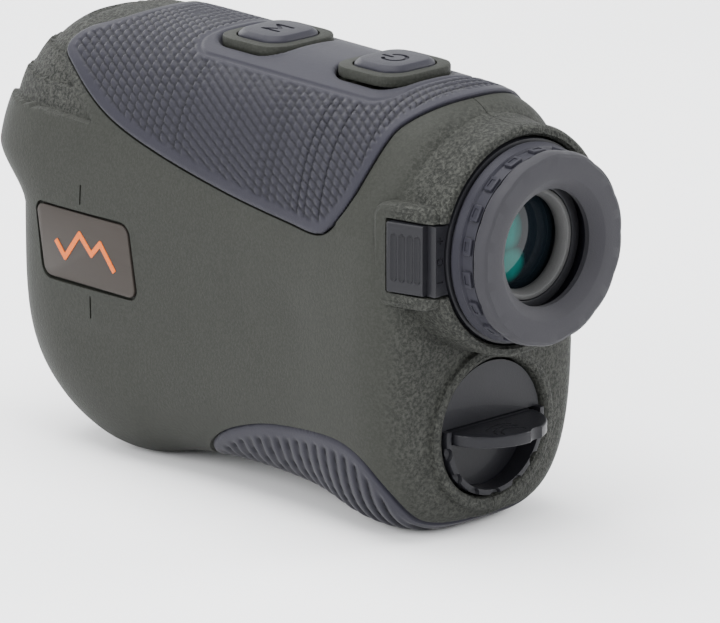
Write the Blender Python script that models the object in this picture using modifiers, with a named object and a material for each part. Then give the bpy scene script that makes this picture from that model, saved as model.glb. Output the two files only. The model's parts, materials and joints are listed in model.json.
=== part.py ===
"""A handheld laser rangefinder with its battery and screw cap, as separate solids.

The frame stands the device on its base: +Y points forward to the lenses, -Y back to the eyepiece, +Z up.
The origin is under the middle of the device, at the height of its base. Lengths here are in millimetres, and
one parent empty brings them to metres.
"""
import math

import bmesh
import bpy
from mathutils import Matrix

METRES_PER_MILLIMETRE = 0.001

# Driving dimensions. "Back" lengths are distances behind the origin, along -Y.
LENGTH = 102
WALL = 2.6
GAP = 0.3
GRIP_DEPTH = 1.3
GRIP_PROUD = 0.35
NOSE_REACH = 7

EYE_HEIGHT = 44.2
COLLAR_RADIUS = 17
COLLAR_BORE = 15.3
COLLAR_BACK = 44.6
EYECUP_RADIUS = 14.25
EYE_APERTURE = 8.6

BORE_HEIGHT = 15.3
BORE_LIP_RADIUS = 11.9
BORE_LIP_BACK = 39.2
BORE_RADIUS = 10.25
BATTERY_RADIUS = 7.8
BATTERY_FRONT_BACK = 1.8
BATTERY_REAR_BACK = 28.6

CAP_RADIUS = 9.9
CAP_CORE = 9.0
CAP_FRONT_BACK = 31
CAP_FACE_BACK = 38.3
CAP_RIM_BACK = 39.5
THREAD_BORE = 9.2
THREAD_PITCH = 1.5
THREAD_WIRE = 0.36
THREAD_CLEARANCE = 0.27
THREAD_START_BACK = 32.2
TAB_HINGE_BACK = 37.6
TAB_THICKNESS = 1.8
TAB_RADIUS = 8.6
TAB_PLAY = 1.3
SEAT_RADIUS = 9.05

RECEIVER_HEIGHT = 20.6
OBJECTIVE_HOLE = 13.5
RECEIVER_HOLE = 9.3

BUTTON_TOP = 66.0
MODE_Y = 5.9
POWER_Y = -18.5
BUTTON_SIZE = (10.4, 9.6)
BEZEL_SIZE = (14.2, 13.2)

BADGE_CENTRE = (27, 32.3)
BADGE_SIZE = (20, 11)
BADGE_LEAN = 0.17
TAB_HALF_HEIGHT = 5.2

# The housing's sections from rear to front: y, half width, lowest z and highest z, in millimetres.
# Where the lowest z is below 0 the section is cut off flat there, which makes the two feet.
STATIONS = (
    (-38.4, 14.0, 4.6, 58.6),
    (-37.7, 16.8, 2.4, 61.2),
    (-35.6, 19.0, 0.7, 63.0),
    (-31.5, 19.9, -0.5, 64.0),
    (-24.0, 19.5, -0.5, 64.4),
    (-14.0, 18.8, 1.8, 64.7),
    (0.0, 18.7, 2.5, 65.0),
    (13.0, 19.0, 1.6, 65.2),
    (22.0, 19.4, -0.5, 65.3),
    (28.0, 19.6, -0.5, 65.3),
    (33.0, 19.6, 1.0, 65.1),
    (37.0, 19.3, 3.2, 64.4),
    (40.5, 18.4, 6.0, 61.6),
    (43.0, 16.8, 8.8, 57.6),
    (44.0, 14.8, 10.6, 54.8),
)
TOP_SQUARENESS = 2.7
BASE_SQUARENESS = 3.4
SECTION_POINTS = 28
CUTTER_TURN = math.radians(2.3)
NOSE_FROM_Y = 28.0
NOSE_LOW_Z = 36.0
NOSE_HIGH_Z = 45.0

# Side outlines of the grips: y and z in millimetres. The prisms through them reach past both sides.
PRISM_REACH = 30
TOP_GRIP_OUTLINE = (
    (24.0, 70.0), (30.0, 65.2), (35.6, 62.8), (36.8, 60.2), (33.0, 57.8), (23.5, 52.8),
    (12.0, 49.4), (-2.5, 46.5), (-15.0, 44.9), (-22.5, 44.6), (-26.5, 48.0), (-29.6, 53.5),
    (-31.4, 60.0), (-33.0, 70.0),
)
BASE_GRIP_OUTLINE = (
    (9.5, -3.0), (8.2, 3.2), (2.0, 8.6), (-7.0, 12.2), (-16.0, 13.8), (-25.5, 14.4),
    (-31.0, 12.6), (-34.6, 8.2), (-36.0, 3.4), (-36.4, -3.0),
)


def start_empty():
    """Removes the objects of the default file and makes the two collections."""
    for old in list(bpy.data.objects):
        bpy.data.objects.remove(old)
    made = []
    for name in ("laser_rangefinder", "cutters"):
        collection = bpy.data.collections.new(name)
        bpy.context.scene.collection.children.link(collection)
        made.append(collection)
    device = bpy.data.objects.new("device", None)
    device.scale = (METRES_PER_MILLIMETRE,) * 3
    made[0].objects.link(device)
    return *made, device


parts, cutters, device = start_empty()


def look(name, colour, roughness, metallic=0.0):
    """A Principled material."""
    material = bpy.data.materials.new(name)
    material.use_nodes = True
    shader = material.node_tree.nodes["Principled BSDF"]
    shader.inputs["Base Color"].default_value = (*colour, 1)
    shader.inputs["Roughness"].default_value = roughness
    shader.inputs["Metallic"].default_value = metallic
    return material


HOUSING = look("housing_plastic", (0.086, 0.09, 0.078), 0.7)
RUBBER = look("grip_rubber", (0.075, 0.073, 0.094), 0.6)
BLACK = look("black_plastic", (0.012, 0.012, 0.013), 0.35)
CHARCOAL = look("cap_plastic", (0.045, 0.045, 0.053), 0.45)
PLATE = look("badge_plate", (0.13, 0.115, 0.105), 0.5)
ORANGE = look("badge_mark", (0.8, 0.16, 0.04), 0.45)
GLASS = look("coated_glass", (0.02, 0.18, 0.15), 0.05)
STEEL = look("steel", (0.6, 0.6, 0.6), 0.3, 1.0)
BOARD = look("circuit_board", (0.02, 0.12, 0.05), 0.5)
CELL = look("battery_sleeve", (0.5, 0.22, 0.08), 0.4)


def place(name, mesh, material):
    """Links a new object: a part where it has a material, otherwise a hidden cutter."""
    item = bpy.data.objects.new(name, mesh)
    item.parent = device
    if material is None:
        cutters.objects.link(item)
        item.hide_render = True
        item.display_type = "WIRE"
        return item
    parts.objects.link(item)
    mesh.materials.append(material)
    mesh.shade_smooth()
    mesh.set_sharp_from_angle(angle=math.radians(35))
    return item


def mesh_from(shape, name):
    """Turns a bmesh into a mesh with its faces pointing out."""
    bmesh.ops.recalc_face_normals(shape, faces=shape.faces)
    mesh = bpy.data.meshes.new(name)
    shape.to_mesh(mesh)
    shape.free()
    return mesh


def boolean(item, other, operation):
    """Adds one Boolean modifier."""
    modifier = item.modifiers.new(operation.lower(), "BOOLEAN")
    modifier.operation = operation
    modifier.object = other


def nose_shift(y, z):
    """How far the lens housing at the upper front reaches past the rest of the front."""
    rise = min(max((z - NOSE_LOW_Z) / (NOSE_HIGH_Z - NOSE_LOW_Z), 0), 1)
    rise = rise * rise * (3 - 2 * rise)
    along = min(max((y - NOSE_FROM_Y) / (STATIONS[-1][0] - NOSE_FROM_Y), 0), 1)
    return NOSE_REACH * rise * along**1.5


def section_point(station, inset, turn):
    """One point of a section, with the outline moved in by inset."""
    y, half_width, low, high = station
    middle_y = (STATIONS[0][0] + STATIONS[-1][0]) / 2
    half_y = (STATIONS[-1][0] - STATIONS[0][0]) / 2
    across = math.cos(turn)
    up = math.sin(turn)
    power = 2 / (TOP_SQUARENESS if up > 0 else BASE_SQUARENESS)
    x = (half_width - inset) * math.copysign(abs(across) ** power, across)
    rise = ((high - low) / 2 - inset) * math.copysign(abs(up) ** power, up)
    z = max((low + high) / 2 + rise, inset)
    inner_y = middle_y + (y - middle_y) * (half_y - inset) / half_y
    return x, inner_y + nose_shift(y, z), z


def housing_loft(name, inset):
    """The housing's outer form as a closed loft, moved in by inset all round."""
    shape = bmesh.new()
    rings = []
    turns = [2 * math.pi * k / SECTION_POINTS for k in range(SECTION_POINTS)]
    for station in STATIONS:
        rings.append([shape.verts.new(section_point(station, inset, turn)) for turn in turns])
    for ring in (rings[0], rings[-1]):
        shape.faces.new(ring)
    for ring, following in zip(rings, rings[1:]):
        edges = []
        for points in (ring, following):
            for k, point in enumerate(points):
                neighbour = points[(k + 1) % SECTION_POINTS]
                edges.append(shape.edges.get((point, neighbour)) or shape.edges.new((point, neighbour)))
        bmesh.ops.bridge_loops(shape, edges=edges)
    return place(name, mesh_from(shape, name), None)


def turned(name, material, profile, centre=(0, 0, 0), axis="back", closed=True, steps=28):
    """A turned piece from (radius, distance along its axis) points. The axis is back (-Y) or up (+Z)."""
    area = sum(a[0] * b[1] - b[0] * a[1] for a, b in zip(profile, profile[1:] + profile[:1]))
    ordered = profile if area < 0 else profile[::-1]
    shape = bmesh.new()
    points = [shape.verts.new((radius, 0, along)) for radius, along in ordered]
    for a, b in zip(points, points[1:]):
        shape.edges.new((a, b))
    if closed:
        shape.edges.new((points[-1], points[0]))
    mesh = bpy.data.meshes.new(name)
    shape.to_mesh(mesh)
    shape.free()
    item = place(name, mesh, material)
    item.location = centre
    if axis == "back":
        item.rotation_euler = (math.pi / 2, 0, 0)
    if material is None:
        item.rotation_euler.rotate_axis("Z", CUTTER_TURN)
    screw = item.modifiers.new("turn", "SCREW")
    screw.steps = steps
    screw.render_steps = steps
    screw.use_merge_vertices = True
    screw.merge_threshold = 0.0001
    screw.use_smooth_shade = material is not None
    return item


def rod(name, material, radius, start, end, centre=(0, 0, 0), axis="back", steps=28):
    """A plain round bar along its axis."""
    profile = [(0, start), (radius, start), (radius, end), (0, end)]
    return turned(name, material, profile, centre, axis, closed=False, steps=steps)


def tube(name, material, outer, inner, start, end, centre=(0, 0, 0), steps=28):
    """A plain round tube along -Y."""
    profile = [(outer, start), (outer, end), (inner, end), (inner, start)]
    return turned(name, material, profile, centre, steps=steps)


def cross_rod(name, material, radius, start_x, end_x, y, z, steps=12):
    """A round bar along +X."""
    item = rod(name, material, radius, start_x, end_x, (0, y, z), "up", steps)
    item.rotation_euler = (0, math.pi / 2, 0)
    return item


def box(name, material, low, high, corner=0.0, along="z", segments=4):
    """A box between two corners, with its four edges along one axis rounded."""
    shape = bmesh.new()
    size = [b - a for a, b in zip(low, high)]
    centre = [(a + b) / 2 for a, b in zip(low, high)]
    matrix = Matrix.Translation(centre) @ Matrix.Diagonal((*size, 1))
    bmesh.ops.create_cube(shape, size=1, matrix=matrix)
    if corner:
        index = "xyz".index(along)
        edges = [e for e in shape.edges if abs(e.verts[0].co[index] - e.verts[1].co[index]) > 0.001]
        bmesh.ops.bevel(
            shape, geom=edges, offset=corner, segments=segments, profile=0.5,
            affect="EDGES", material=-1, offset_type="OFFSET",
        )
    return place(name, mesh_from(shape, name), material)


def side_prism(name, outline, grow):
    """A prism through the housing along X, from a smooth closed outline in (y, z) millimetres."""
    curve = bpy.data.curves.new(name, "CURVE")
    curve.dimensions = "2D"
    curve.fill_mode = "BOTH"
    curve.extrude = PRISM_REACH
    curve.offset = grow
    curve.resolution_u = 3
    spline = curve.splines.new("BEZIER")
    spline.bezier_points.add(len(outline) - 1)
    spline.use_cyclic_u = True
    for point, (y, z) in zip(spline.bezier_points, outline):
        point.co = (y, z, 0)
        point.handle_left_type = "AUTO"
        point.handle_right_type = "AUTO"
    drawn = bpy.data.objects.new(name, curve)
    bpy.context.scene.collection.objects.link(drawn)
    bpy.context.view_layer.update()
    mesh = bpy.data.meshes.new_from_object(drawn.evaluated_get(bpy.context.evaluated_depsgraph_get()))
    bpy.data.objects.remove(drawn)
    shape = bmesh.new()
    shape.from_mesh(mesh)
    bmesh.ops.remove_doubles(shape, verts=shape.verts, dist=0.0001)
    turn = Matrix(((0, 0, 1, 0), (1, 0, 0, 0), (0, 1, 0, 0), (0, 0, 0, 1)))
    bmesh.ops.transform(shape, matrix=turn, verts=shape.verts)
    return place(name, mesh_from(shape, name), None)


def helix(name, wire, turns, start_back):
    """A round thread ridge along the battery bore, as a closed mesh, for joining or cutting."""
    steps = 18
    curve = bpy.data.curves.new(name, "CURVE")
    curve.dimensions = "3D"
    curve.bevel_depth = wire
    curve.bevel_resolution = 0
    curve.use_fill_caps = True
    spline = curve.splines.new("POLY")
    spline.points.add(turns * steps)
    for k, point in enumerate(spline.points):
        turn = 2 * math.pi * k / steps
        back = start_back + THREAD_PITCH * k / steps
        point.co = (CAP_CORE * math.cos(turn), -back, BORE_HEIGHT + CAP_CORE * math.sin(turn), 1)
    drawn = bpy.data.objects.new(name, curve)
    bpy.context.scene.collection.objects.link(drawn)
    bpy.context.view_layer.update()
    mesh = bpy.data.meshes.new_from_object(drawn.evaluated_get(bpy.context.evaluated_depsgraph_get()))
    bpy.data.objects.remove(drawn)
    shape = bmesh.new()
    shape.from_mesh(mesh)
    bmesh.ops.remove_doubles(shape, verts=shape.verts, dist=0.0001)
    return place(name, mesh_from(shape, name), None)


# Housing: one hollow form, cut into two halves at x = 0.
SCREW_PLACES = ((28, 60.2), (-31, 60.0), (30, 7), (4, 8), (-27.5, 29.8))
SCREW_HEADS = (8.9, 6.8, 14.6, 12.2, 16.6)
BOSS_RADIUS = 2.3
SCREW_SHANK = 0.8
SCREW_HEAD = 1.6
SCREW_HEAD_HEIGHT = 1.1
SHANK_LENGTH = 12
FAR = 70
SEAM = 0.1


def button_cutter(name, y, size, bottom):
    """A rounded upright block at a button's place."""
    half_x, half_y = size[0] / 2, size[1] / 2
    return box(name, None, (-half_x, y - half_y, bottom), (half_x, y + half_y, 72), 3.6, segments=3)


def badge_block(name, material, grow, low_x, high_x):
    """The badge's leaning rounded outline, as a block in the left side."""
    half_y = BADGE_SIZE[0] / 2 + grow
    half_z = BADGE_SIZE[1] / 2 + grow
    y, z = BADGE_CENTRE
    item = box(name, material, (low_x, y - half_y, z - half_z), (high_x, y + half_y, z + half_z), 1.6, "x", 2)
    for vertex in item.data.vertices:
        vertex.co.y += (vertex.co.z - z) * BADGE_LEAN
    return item


def make_housing():
    """Both halves, with the collar, the bore's lip, screw bosses and every recess."""
    form = housing_loft("housing_form", 0)
    eye = (0, 0, EYE_HEIGHT)
    bore = (0, 0, BORE_HEIGHT)
    lip_edge = 0.7
    collar = [
        (COLLAR_RADIUS, 30), (COLLAR_RADIUS, COLLAR_BACK - lip_edge),
        (COLLAR_RADIUS - lip_edge, COLLAR_BACK), (0, COLLAR_BACK), (0, 30),
    ]
    lip = [
        (BORE_LIP_RADIUS, 31), (BORE_LIP_RADIUS, BORE_LIP_BACK - lip_edge),
        (BORE_LIP_RADIUS - lip_edge, BORE_LIP_BACK), (0, BORE_LIP_BACK), (0, 31),
    ]
    boolean(form, turned("collar_form", None, collar, eye, closed=False, steps=40), "UNION")
    boolean(form, turned("lip_form", None, lip, bore, closed=False, steps=36), "UNION")
    boolean(form, housing_loft("housing_inside", WALL), "DIFFERENCE")
    for k, (y, z) in enumerate(SCREW_PLACES):
        reach = SCREW_HEADS[k] + 1
        boolean(form, cross_rod(f"boss_form_{k}", None, BOSS_RADIUS, -reach, reach, y, z), "UNION")
    boolean(form, rod("eye_hole", None, COLLAR_BORE, 30, 50, eye, steps=38), "DIFFERENCE")
    boolean(form, rod("bore_hole", None, BORE_RADIUS, 30, 50, bore, steps=34), "DIFFERENCE")
    boolean(form, rod("objective_hole", None, OBJECTIVE_HOLE, -60, -38.5, eye, steps=32), "DIFFERENCE")
    receiver = (0, 0, RECEIVER_HEIGHT)
    boolean(form, rod("receiver_hole", None, RECEIVER_HOLE, -60, -36, receiver), "DIFFERENCE")
    recess = side_prism("top_recess", TOP_GRIP_OUTLINE, GAP)
    boolean(recess, housing_loft("top_recess_floor", GRIP_DEPTH + GAP), "DIFFERENCE")
    boolean(form, recess, "DIFFERENCE")
    recess = side_prism("base_recess", BASE_GRIP_OUTLINE, GAP)
    boolean(recess, housing_loft("base_recess_floor", GRIP_DEPTH + GAP), "DIFFERENCE")
    boolean(form, recess, "DIFFERENCE")
    for name, y in (("mode", MODE_Y), ("power", POWER_Y)):
        size = (BUTTON_SIZE[0] - 2.4, BUTTON_SIZE[1] - 2.4)
        boolean(form, button_cutter(f"{name}_opening", y, size, 55), "DIFFERENCE")
    boolean(form, badge_block("badge_recess", None, GAP, -25, -18.5), "DIFFERENCE")
    tab_low = EYE_HEIGHT - TAB_HALF_HEIGHT - GAP
    tab_high = EYE_HEIGHT + TAB_HALF_HEIGHT + GAP
    notch = box("tab_notch", None, (-25, -50, tab_low), (-11, -36.0, tab_high))
    boolean(form, notch, "DIFFERENCE")
    for name, low, high in (
        ("strap_slot", (12.6, -37.2, 27.6), (30, -33.8, 32.6)),
        ("strap_way", (12.6, -60, 27.6), (15.0, -33.8, 32.6)),
    ):
        boolean(form, box(name, None, low, high, 0.7, "x"), "DIFFERENCE")
    for k, (y, z) in enumerate(SCREW_PLACES):
        head_end = SCREW_HEADS[k]
        pilot = cross_rod(f"pilot_{k}", None, SCREW_SHANK + 0.2, -6.5, head_end, y, z, 12)
        boolean(form, pilot, "DIFFERENCE")
        head = cross_rod(f"counterbore_{k}", None, SCREW_HEAD + 0.25, head_end - 1.4, 30, y, z, 16)
        boolean(form, head, "DIFFERENCE")
    for name, low_x, high_x in (("left_shell", -FAR, -SEAM), ("right_shell", SEAM, FAR)):
        half = box(name, HOUSING, (low_x, -FAR, -FAR), (high_x, FAR, 2 * FAR))
        boolean(half, form, "INTERSECT")


def make_grips():
    """The rubber inlays: the outer form between two insets, inside a side outline."""
    for name, outline in (("top_grip", TOP_GRIP_OUTLINE), ("bottom_grip", BASE_GRIP_OUTLINE)):
        prism = side_prism(f"{name}_prism", outline, 0)
        grip = place(name, prism.data.copy(), RUBBER)
        proud = GRIP_PROUD if name == "top_grip" else 0
        boolean(grip, housing_loft(f"{name}_outside", -proud), "INTERSECT")
        boolean(grip, housing_loft(f"{name}_inside", GRIP_DEPTH), "DIFFERENCE")
        if name == "top_grip":
            for button, y in (("mode", MODE_Y), ("power", POWER_Y)):
                size = (BEZEL_SIZE[0] + 2 * GAP, BEZEL_SIZE[1] + 2 * GAP)
                boolean(grip, button_cutter(f"{button}_grip_opening", y, size, 50), "DIFFERENCE")


# Buttons: each key slides in its surround and presses a switch on the button board.
BEZEL_BASE = 64.0
BEZEL_TOP = 65.7
BOARD_TOP = 58.2
SWITCH_TOP = 60.2


def make_buttons():
    """Surrounds, keys, switches and the board under them."""
    for name, y in (("mode", MODE_Y), ("power", POWER_Y)):
        surround_x, surround_y = BEZEL_SIZE[0] / 2, BEZEL_SIZE[1] / 2
        surround = box(
            f"{name}_button_surround", HOUSING, (-surround_x, y - surround_y, BEZEL_BASE),
            (surround_x, y + surround_y, BEZEL_TOP), 3.8,
        )
        opening = (BUTTON_SIZE[0] + 2 * GAP, BUTTON_SIZE[1] + 2 * GAP)
        boolean(surround, button_cutter(f"{name}_surround_hole", y, opening, 55), "DIFFERENCE")
        key_x, key_y = BUTTON_SIZE[0] / 2, BUTTON_SIZE[1] / 2
        key = box(
            f"{name}_button", RUBBER, (-key_x, y - key_y, BEZEL_BASE + 0.8),
            (key_x, y + key_y, BUTTON_TOP + 0.5), 3.0,
        )
        stem = rod(f"{name}_stem", None, 2.2, SWITCH_TOP + 1.3, BUTTON_TOP, (0, y, 0), "up", 20)
        boolean(key, stem, "UNION")
        half = 3
        switch = box(
            f"{name}_switch", BLACK, (-half, y - half, BOARD_TOP + GAP), (half, y + half, SWITCH_TOP - 0.4),
        )
        plunger = rod(f"{name}_plunger", None, 1.6, BOARD_TOP + 0.8, SWITCH_TOP + 0.2, (0, y, 0), "up", 16)
        boolean(switch, plunger, "UNION")
    box("button_board", BOARD, (-7, -25, BOARD_TOP - 1), (7, 11, BOARD_TOP))


def make_badge():
    """The plate let into the left side and the mark on it."""
    badge_block("side_badge", PLATE, 0, -19.3, -18.8)
    y, z = BADGE_CENTRE
    low_x = -19.95
    high_x = -19.6
    peak = box("badge_mark", ORANGE, (low_x, y - 6, z - 2.2), (high_x, y + 6, z + 2.2), 1.0, "x", 2)
    window = box("mark_window", None, (-21, y - 4.6, z - 0.9), (-19, y + 4.6, z + 0.9))
    boolean(peak, window, "DIFFERENCE")


def make_eyepiece():
    """Flange, index tab, turning dioptre ring with its eyecup, and the sliding ocular cell."""
    eye = (0, 0, EYE_HEIGHT)
    tube("eyepiece_sleeve", BLACK, 11.1, 10.0, 20, 42.6, eye)
    tube("eyepiece_flange", CHARCOAL, 15.0, 12.5, 40.2, 44.4, eye, 36)
    tab = box(
        "dioptre_index_tab", CHARCOAL, (-19.4, -44.4, EYE_HEIGHT - TAB_HALF_HEIGHT),
        (-11.3, -36.6, EYE_HEIGHT + TAB_HALF_HEIGHT),
    )
    boolean(tab, rod("tab_hollow", None, 15.3, 30, 50, eye, steps=36), "DIFFERENCE")
    slope = box(
        "tab_slope", None, (-26, -52, EYE_HEIGHT - 8),
        (-16.9, -42.2, EYE_HEIGHT + 8),
    )
    boolean(tab, slope, "DIFFERENCE")
    ring = [
        (11.4, 40.6), (12.2, 40.6), (12.2, 44.8), (14.6, 44.8),
        (14.1, 46.2), (14.1, 48.4), (11.4, 48.4),
    ]
    turned("dioptre_ring", RUBBER, ring, eye, steps=36)
    cup = [
        (11.0, 48.7), (EYECUP_RADIUS, 48.7), (EYECUP_RADIUS, 50.4),
        (EYECUP_RADIUS - 0.6, LENGTH / 2), (10.4, LENGTH / 2), (EYE_APERTURE, 49.6),
        (EYE_APERTURE, 48.7),
    ]
    turned("eyecup", RUBBER, cup, eye, steps=36)
    barrel = [
        (9.7, 29), (9.7, 46.4), (8.3, 46.4), (8.3, 41.0),
        (7.6, 41.0), (7.6, 36.0), (8.3, 36.0), (8.3, 29),
    ]
    turned("ocular_cell", BLACK, barrel, eye, steps=28)
    lens("eye_lens", 8.0, 41.3, 44.0, 0.9, eye)
    lens("field_lens", 8.0, 32.6, 35.7, 0.9, eye)
    tube("ocular_retaining_ring", STEEL, 8.0, 7.0, 44.3, 46.2, eye)


def lens(name, radius, start, end, bulge, centre):
    """A lens between two planes, whose middle thirds bulge past its rim's ends."""
    rings = 2
    front = [(radius * k / rings, start + bulge * (k / rings) ** 2) for k in range(rings + 1)]
    rear = [(radius * k / rings, end - bulge * (k / rings) ** 2) for k in range(rings, -1, -1)]
    turned(name, GLASS, front + rear, centre, closed=False, steps=20)


def make_optics():
    """Objective and receiver groups, prisms, display and laser."""
    eye = (0, 0, EYE_HEIGHT)
    receiver = (0, 0, RECEIVER_HEIGHT)
    bezel = [
        (13.2, -49.4), (13.2, -41.0), (11.0, -41.0), (11.0, -45.0),
        (12.4, -49.4),
    ]
    turned("objective_bezel", BLACK, bezel, eye, steps=32)
    cell = [
        (12.5, -40.7), (12.5, -12), (11.3, -12), (11.3, -36),
        (10.4, -36), (10.4, -37), (11.3, -37), (11.3, -40.7),
    ]
    turned("objective_cell", BLACK, cell, eye)
    lens("objective_lens", 11.0, -40.7, -37.3, 1.0, eye)
    bezel = [
        (9.0, -43.8), (9.0, -37.0), (7.4, -37.0), (7.4, -40.0),
        (8.4, -43.8),
    ]
    turned("receiver_bezel", BLACK, bezel, receiver)
    cell = [
        (9.0, -36.7), (9.0, -12), (7.9, -12), (7.9, -32),
        (7.2, -32), (7.2, -33), (7.9, -33), (7.9, -36.7),
    ]
    turned("receiver_cell", BLACK, cell, receiver, steps=24)
    lens("receiver_lens", 7.6, -36.7, -33.3, 1.0, receiver)
    box("detector_board", BOARD, (-8, 9.4, 13), (8, 10.4, 28))
    rod("photodiode", STEEL, 3.6, -13.4, -10.7, receiver, steps=24)
    holder = box("prism_holder", BLACK, (-10, -16, 33), (10, 11, 56))
    inside = box("prism_space", None, (-8.5, -14.5, 34.5), (14, 9.5, 54.5))
    boolean(holder, inside, "DIFFERENCE")
    light_way = rod("light_way", None, 7, -20, 20, eye, steps=24)
    boolean(holder, light_way, "DIFFERENCE")
    for name, corners in (
        ("roof_prism", ((-14.0, 35.0), (-3.0, 35.0), (-3.0, 54.0), (-14.0, 46.0))),
        ("half_prism", ((9.0, 54.0), (-2.2, 54.0), (-2.2, 35.0), (9.0, 42.5))),
    ):
        shape = bmesh.new()
        outline = [shape.verts.new((-8, y, z)) for y, z in corners]
        face = shape.faces.new(outline)
        pushed = bmesh.ops.extrude_face_region(shape, geom=[face])["geom"]
        moved = [item for item in pushed if isinstance(item, bmesh.types.BMVert)]
        bmesh.ops.translate(shape, verts=moved, vec=(16, 0, 0))
        place(name, mesh_from(shape, name), GLASS)
    box("display_cell", GLASS, (-8, -18.6, 36.5), (8, -16.3, 52))
    laser = (0, -3, 0)
    profile = [(4.2, 26.2), (4.2, 32.6), (2.9, 32.6), (2.9, 26.2)]
    turned("laser_holder", STEEL, profile, laser, "up", steps=24)
    rod("laser_diode", STEEL, 2.6, 26.6, 31.0, laser, "up", 20)
    box("main_board", BOARD, (12.4, -22, 14), (13.4, 33, 40))


def make_battery_side():
    """Threaded tube, contacts, battery, screw cap with its ring, folding tab and pin."""
    bore = (0, 0, BORE_HEIGHT)
    profile = [
        (9.6, 0.2), (9.6, 29), (10.5, 29), (10.5, 34.4),
        (THREAD_BORE, 34.4), (THREAD_BORE, 30.4), (8.1, 30.4), (8.1, 1.5),
        (4.0, 1.5), (4.0, 0.2),
    ]
    holder = turned("battery_tube", BLACK, profile, bore, steps=36)
    groove = helix("thread_groove", THREAD_WIRE + THREAD_CLEARANCE, 4, THREAD_START_BACK - THREAD_PITCH)
    boolean(holder, groove, "DIFFERENCE")
    rod("front_contact", STEEL, 3.6, -0.4, 1.1, bore, steps=24)
    cell = [
        (0, BATTERY_FRONT_BACK), (3.2, BATTERY_FRONT_BACK), (3.2, BATTERY_FRONT_BACK + 0.8),
        (BATTERY_RADIUS - 0.5, BATTERY_FRONT_BACK + 0.8), (BATTERY_RADIUS, BATTERY_FRONT_BACK + 1.3),
        (BATTERY_RADIUS, BATTERY_REAR_BACK - 0.4), (BATTERY_RADIUS - 0.4, BATTERY_REAR_BACK),
        (0, BATTERY_REAR_BACK),
    ]
    turned("battery", CELL, cell, bore, closed=False, steps=24)
    cap = [
        (0, CAP_FRONT_BACK + 3), (7.2, CAP_FRONT_BACK + 3), (7.2, CAP_FRONT_BACK),
        (CAP_CORE - 0.6, CAP_FRONT_BACK), (CAP_CORE, CAP_FRONT_BACK + 0.6), (CAP_CORE, 36.6),
        (CAP_RADIUS, 36.6), (CAP_RADIUS, CAP_RIM_BACK - 0.3), (CAP_RADIUS - 0.3, CAP_RIM_BACK),
        (0, CAP_RIM_BACK),
    ]
    lid = turned("battery_cap", CHARCOAL, cap, bore, closed=False, steps=36)
    boolean(lid, helix("thread_ridge", THREAD_WIRE, 2, THREAD_START_BACK), "UNION")
    seat_top = BORE_HEIGHT + TAB_PLAY
    upper = box("cap_upper_recess", None, (-20, -45, seat_top - 0.05), (20, -CAP_FACE_BACK, seat_top + 20))
    boolean(lid, upper, "DIFFERENCE")
    seat = rod("tab_seat", None, SEAT_RADIUS, TAB_HINGE_BACK - TAB_PLAY, 45, bore, steps=34)
    boolean(seat, box("seat_half", None, (-20, -50, -20), (20, 0, seat_top)), "INTERSECT")
    boolean(lid, seat, "DIFFERENCE")
    pin_hole = cross_rod("pin_hole", None, 0.6, -20, 20, -TAB_HINGE_BACK, BORE_HEIGHT, 16)
    boolean(lid, pin_hole, "DIFFERENCE")
    pin_reach = 9.6
    cross_rod("tab_hinge_pin", STEEL, 0.4, -pin_reach, pin_reach, -TAB_HINGE_BACK, BORE_HEIGHT, 16)
    turned("cap_seal", RUBBER, ring_profile(9.55, 35.95, 0.35), bore, steps=28)
    rod("cap_contact", STEEL, 5.5, 29.0, 29.5, bore, steps=24)
    make_cap_spring()
    make_tab()


def ring_profile(radius, back, wire):
    """A round section of a sealing ring."""
    sides = 6
    turns = [2 * math.pi * k / sides for k in range(sides)]
    return [(radius + wire * math.cos(turn), back + wire * math.sin(turn)) for turn in turns]


def make_cap_spring():
    """The coil between the cap and its contact plate."""
    curve = bpy.data.curves.new("cap_spring", "CURVE")
    curve.dimensions = "3D"
    curve.bevel_depth = 0.3
    curve.bevel_resolution = 0
    curve.use_fill_caps = True
    spline = curve.splines.new("POLY")
    turns = 3
    steps = 10
    spline.points.add(turns * steps)
    first = 30.1
    last = 33.3
    for k, point in enumerate(spline.points):
        share = k / (turns * steps)
        turn = 2 * math.pi * k / steps
        radius = 5.0 - 1.2 * share
        back = first + (last - first) * share
        point.co = (radius * math.cos(turn), -back, BORE_HEIGHT + radius * math.sin(turn), 1)
    item = bpy.data.objects.new("cap_spring", curve)
    item.parent = device
    curve.materials.append(STEEL)
    parts.objects.link(item)


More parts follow.
